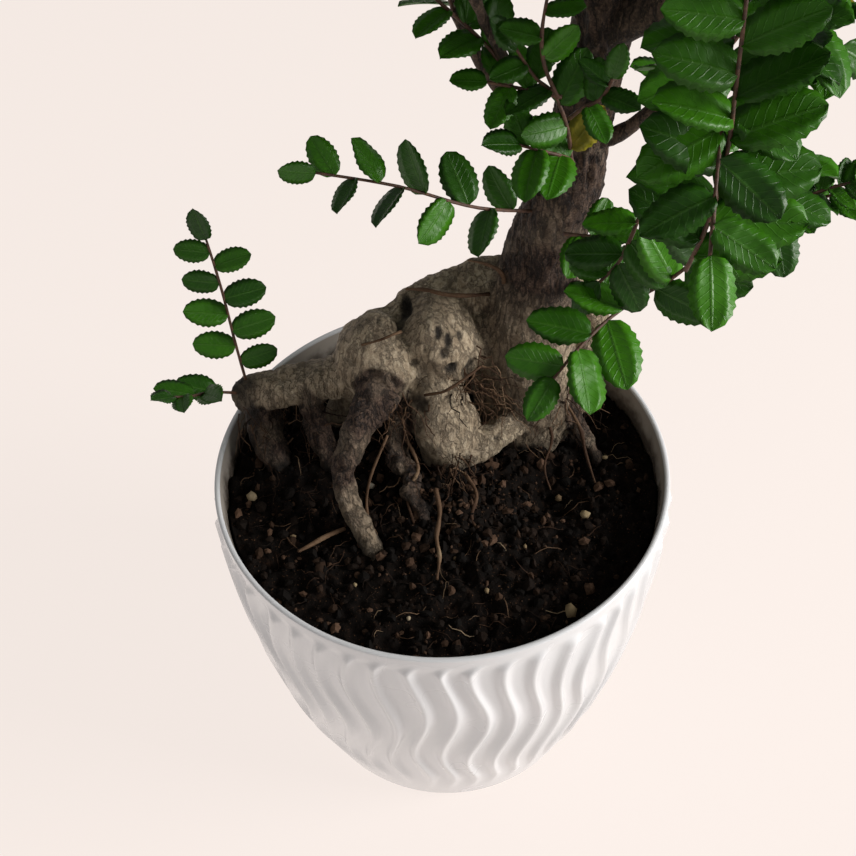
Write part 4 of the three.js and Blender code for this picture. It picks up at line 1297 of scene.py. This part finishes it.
# leafy twigs in front of the trunk and at the upper right, which touch and overlap one another
frontSprays = [
    shoot("topLeft", [[21, 4, 296], [16, 3, 306], [11, 3, 312], [4, 3, 319], [0, 3, 323]],
          5, 12, 0.3, 401, open=68),
    shoot("pale", [[38, 4, 272], [35, -3, 288], [31, -3, 298], [26, -3, 303], [21, -3, 311]],
          6, 12.5, 0.12, 402, [0, -0.6, 0.8], open=62, aged=[0]),
    shoot("paleRight", [[35, -5, 292], [38, -8, 297], [42, -10, 301], [44, -11, 307]],
          4, 10, 0.4, 403, [0, -0.6, 0.8], open=70),
    shoot("paleUpper", [[32, -3, 297], [28, -4, 307], [27, -4, 316], [28, -4, 326]],
          3, 10, 0.4, 404, [0, -0.6, 0.8], open=66),
    shoot("paleLeft", [[33, -3, 297], [22, -3, 300], [14, -3, 302]],
          3, 11, 0.4, 405, [0.1, -0.6, 0.8], open=64),
    shoot("middle", [[38, 8, 244], [44, 3, 247], [50, 1, 248]], 3, 11, 0.4, 406, [0, -0.6, 0.8], open=72),
    shoot("lowRight", [[53, -22, 274], [50, -25, 266], [48, -25, 260], [44, -25, 254]],
          5, 14, 0.1, 407, open=66),
    shoot("farRight", [[88, -8, 261], [98, -8, 266], [106, -8, 270], [114, -9, 273]],
          10, 8, 0.15, 408, [0, -0.4, 0.9], open=60, aged=[1]),
    shoot("near", [[57, -58, 286], [60, -58, 300], [61, -58, 318], [60, -58, 334], [59, -57, 352]],
          12, 18, 0.1, 409, open=66),
    shoot("nearRight", [[64, -40, 326], [71, -36, 333], [79, -34, 333], [88, -34, 327]],
          7, 16, 0.1, 410, open=66),
    shoot("nearLow", [[70, -30, 310], [72, -42, 309], [73, -51, 305], [74, -57, 300]],
          4, 15, 0.2, 411, open=62),
]


def makeFront():
    # all the front twigs in one piece, set close without the test for free space
    leaves, paths = [], []
    for spray in frontSprays:
        placed, path = placeLeaves(spray, crowded=True)
        for k in spray.get("aged", []):
            placed[k]["aged"] = True
        leaves += placed
        paths.append(path)
    makeSpray("frontLeaves", leaves, paths, yellowShare=0, roll=0.55)
    print("front leaves", len(leaves))


filler = {
    "places": (0.2, 0.35, 0.5, 0.65, 0.8, 0.95),  # of the side shoots along each crown twig
    "radii": (0.5, 0.45, 0.4, 0.3), "leaves": 5, "open": 58, "shape": 0.6, "seed": 808,
}


def isOut(points):
    # outside the solid model's box less 1 mm, or in the open part of the picture
    low, high = np.array(cadLow) / mm + 1, np.array(cadHigh) / mm - 1
    return np.any(points < low) or np.any(points > high) or np.any(openView(points))


def makeFiller(sprays, f):
    # short side shoots on every crown twig, each leaf left out where it would be out
    draw = randomFrom(f["seed"])
    last = f["leaves"] - 1
    leaves, paths = [], []
    for spray in sprays:
        rows = smoothPath([[*p, 0.55] for p in spray["line"]], 3)
        for share in f["places"]:
            at = pathPoint(rows, share)[:3]
            along = unit(pathPoint(rows, min(share + 0.1, 1))[:3] - pathPoint(rows, share - 0.1)[:3])
            turn = 2 * math.pi * draw()
            side = unit(np.cross(along, [math.cos(turn), math.sin(turn), 0.4]))
            heading = unit(along * 0.5 + side + np.array([0, 0, 0.25]))
            length = 12 + 10 * draw()
            line = np.array([at + heading * length * k / 3 + np.array([0, 0, 0.08 * length * (k / 3) ** 2])
                             for k in range(4)])
            if isOut(line):
                continue
            path = smoothPath(np.column_stack([line, f["radii"]]), 3)
            paths.append(path)
            across = unit(np.cross([0, 0, 1], heading))
            for i in range(f["leaves"]):
                foot = pathPoint(path, 0.25 + 0.75 * i / last)[:3]
                spread = 0.1 if i == last else math.radians(f["open"]) * (1 if i % 2 else -1)
                rise = np.array([0, 0, 0.3 * draw()])
                away = unit(heading * math.cos(spread) + across * math.sin(spread) + rise)
                tip = foot + away * (10 + 4 * draw())
                if isOut(tip[None]) or openView(foot[None])[0]:
                    continue
                leaves.append(leafBetween(foot, tip, f["shape"], draw))
    makeSpray("crownLeaves", leaves, paths, roll=0.5, thin=1.0, rows=10)
    print("filler leaves", len(leaves))


picture = {  # pixels of the frame, counted from its top left corner
    "left": -30, "top": -34, "end": 886,
    "denseFrom": 560, "denseDepth": 20, "denseSlope": 0.1,  # foliage fills the top right corner
}


def openView(points):
    # inside the picture and not in its dense foliage, from half + lens * offset / distance
    camera = bpy.context.scene.camera
    turn = np.array(camera.matrix_world.to_3x3())
    seen = (points * mm - np.array(camera.matrix_world.translation)) @ turn
    half, away = shot["frameSize"] / 2, -seen[:, 2]
    u = half + shot["focalPixels"] * seen[:, 0] / away
    v = half - shot["focalPixels"] * seen[:, 1] / away
    inside = (u > picture["left"]) & (v > picture["top"]) & (np.maximum(u, v) < picture["end"])
    past = u - picture["denseFrom"]
    dense = (past > 0) & (v < picture["denseDepth"] + picture["denseSlope"] * past)
    return inside & ~dense


def takeWood():
    # what the leaves have to keep clear of
    for line in [trunk, *roots.values()]:
        takePath(smoothPath(line, 4), "tree")
    for line in branches.values():
        takePath(smoothPath(line, 6), "tree")
    for spec in lumps:
        takePath([[*spec["at"], spec["size"][0] + 1]], "tree")


def crownSprays():
    # one twig on from the tip of each branch, the others left and right in turn
    sprays = []
    for n, (branch, sides) in enumerate(crown.items()):
        path = smoothPath(branches[branch], 4)
        seed = crownRule["seed"] + 100 * n
        sprays.append(crownSpray(branch, "tip", path, 1, 0, seed))
        for k, share in enumerate(sides, 1):
            sprays.append(crownSpray(branch, k, path, share, -1 if k % 2 else 1, seed + k))
    sprays.append(crownSpray("top", "tip", smoothPath(trunk, 4), 1, 0, crownRule["topSeed"]))
    return sprays


def makeCrown():
    # every leafy twig of the solid model in fine form, then the added leaves
    takeWood()
    upper = crownSprays()
    sprays = shoots + upper
    for spray in sprays:
        takePath(smoothPath([[*p, leafRule["twig"]] for p in spray["line"]], 3), spray["name"])
    total = 0
    for spray in sprays:
        leaves, path = placeLeaves(spray)
        makeSpray(spray["name"] + "_fine", leaves, [path], spray["name"], spray.get("agedShare", 0),
                  spray.get("roll", leafRule["roll"]))
        total += len(leaves)
    print("sprays", len(sprays), "leaves", total)
    makeFront()
    makeFiller(upper, filler)


makeCrown()
print("crown made")
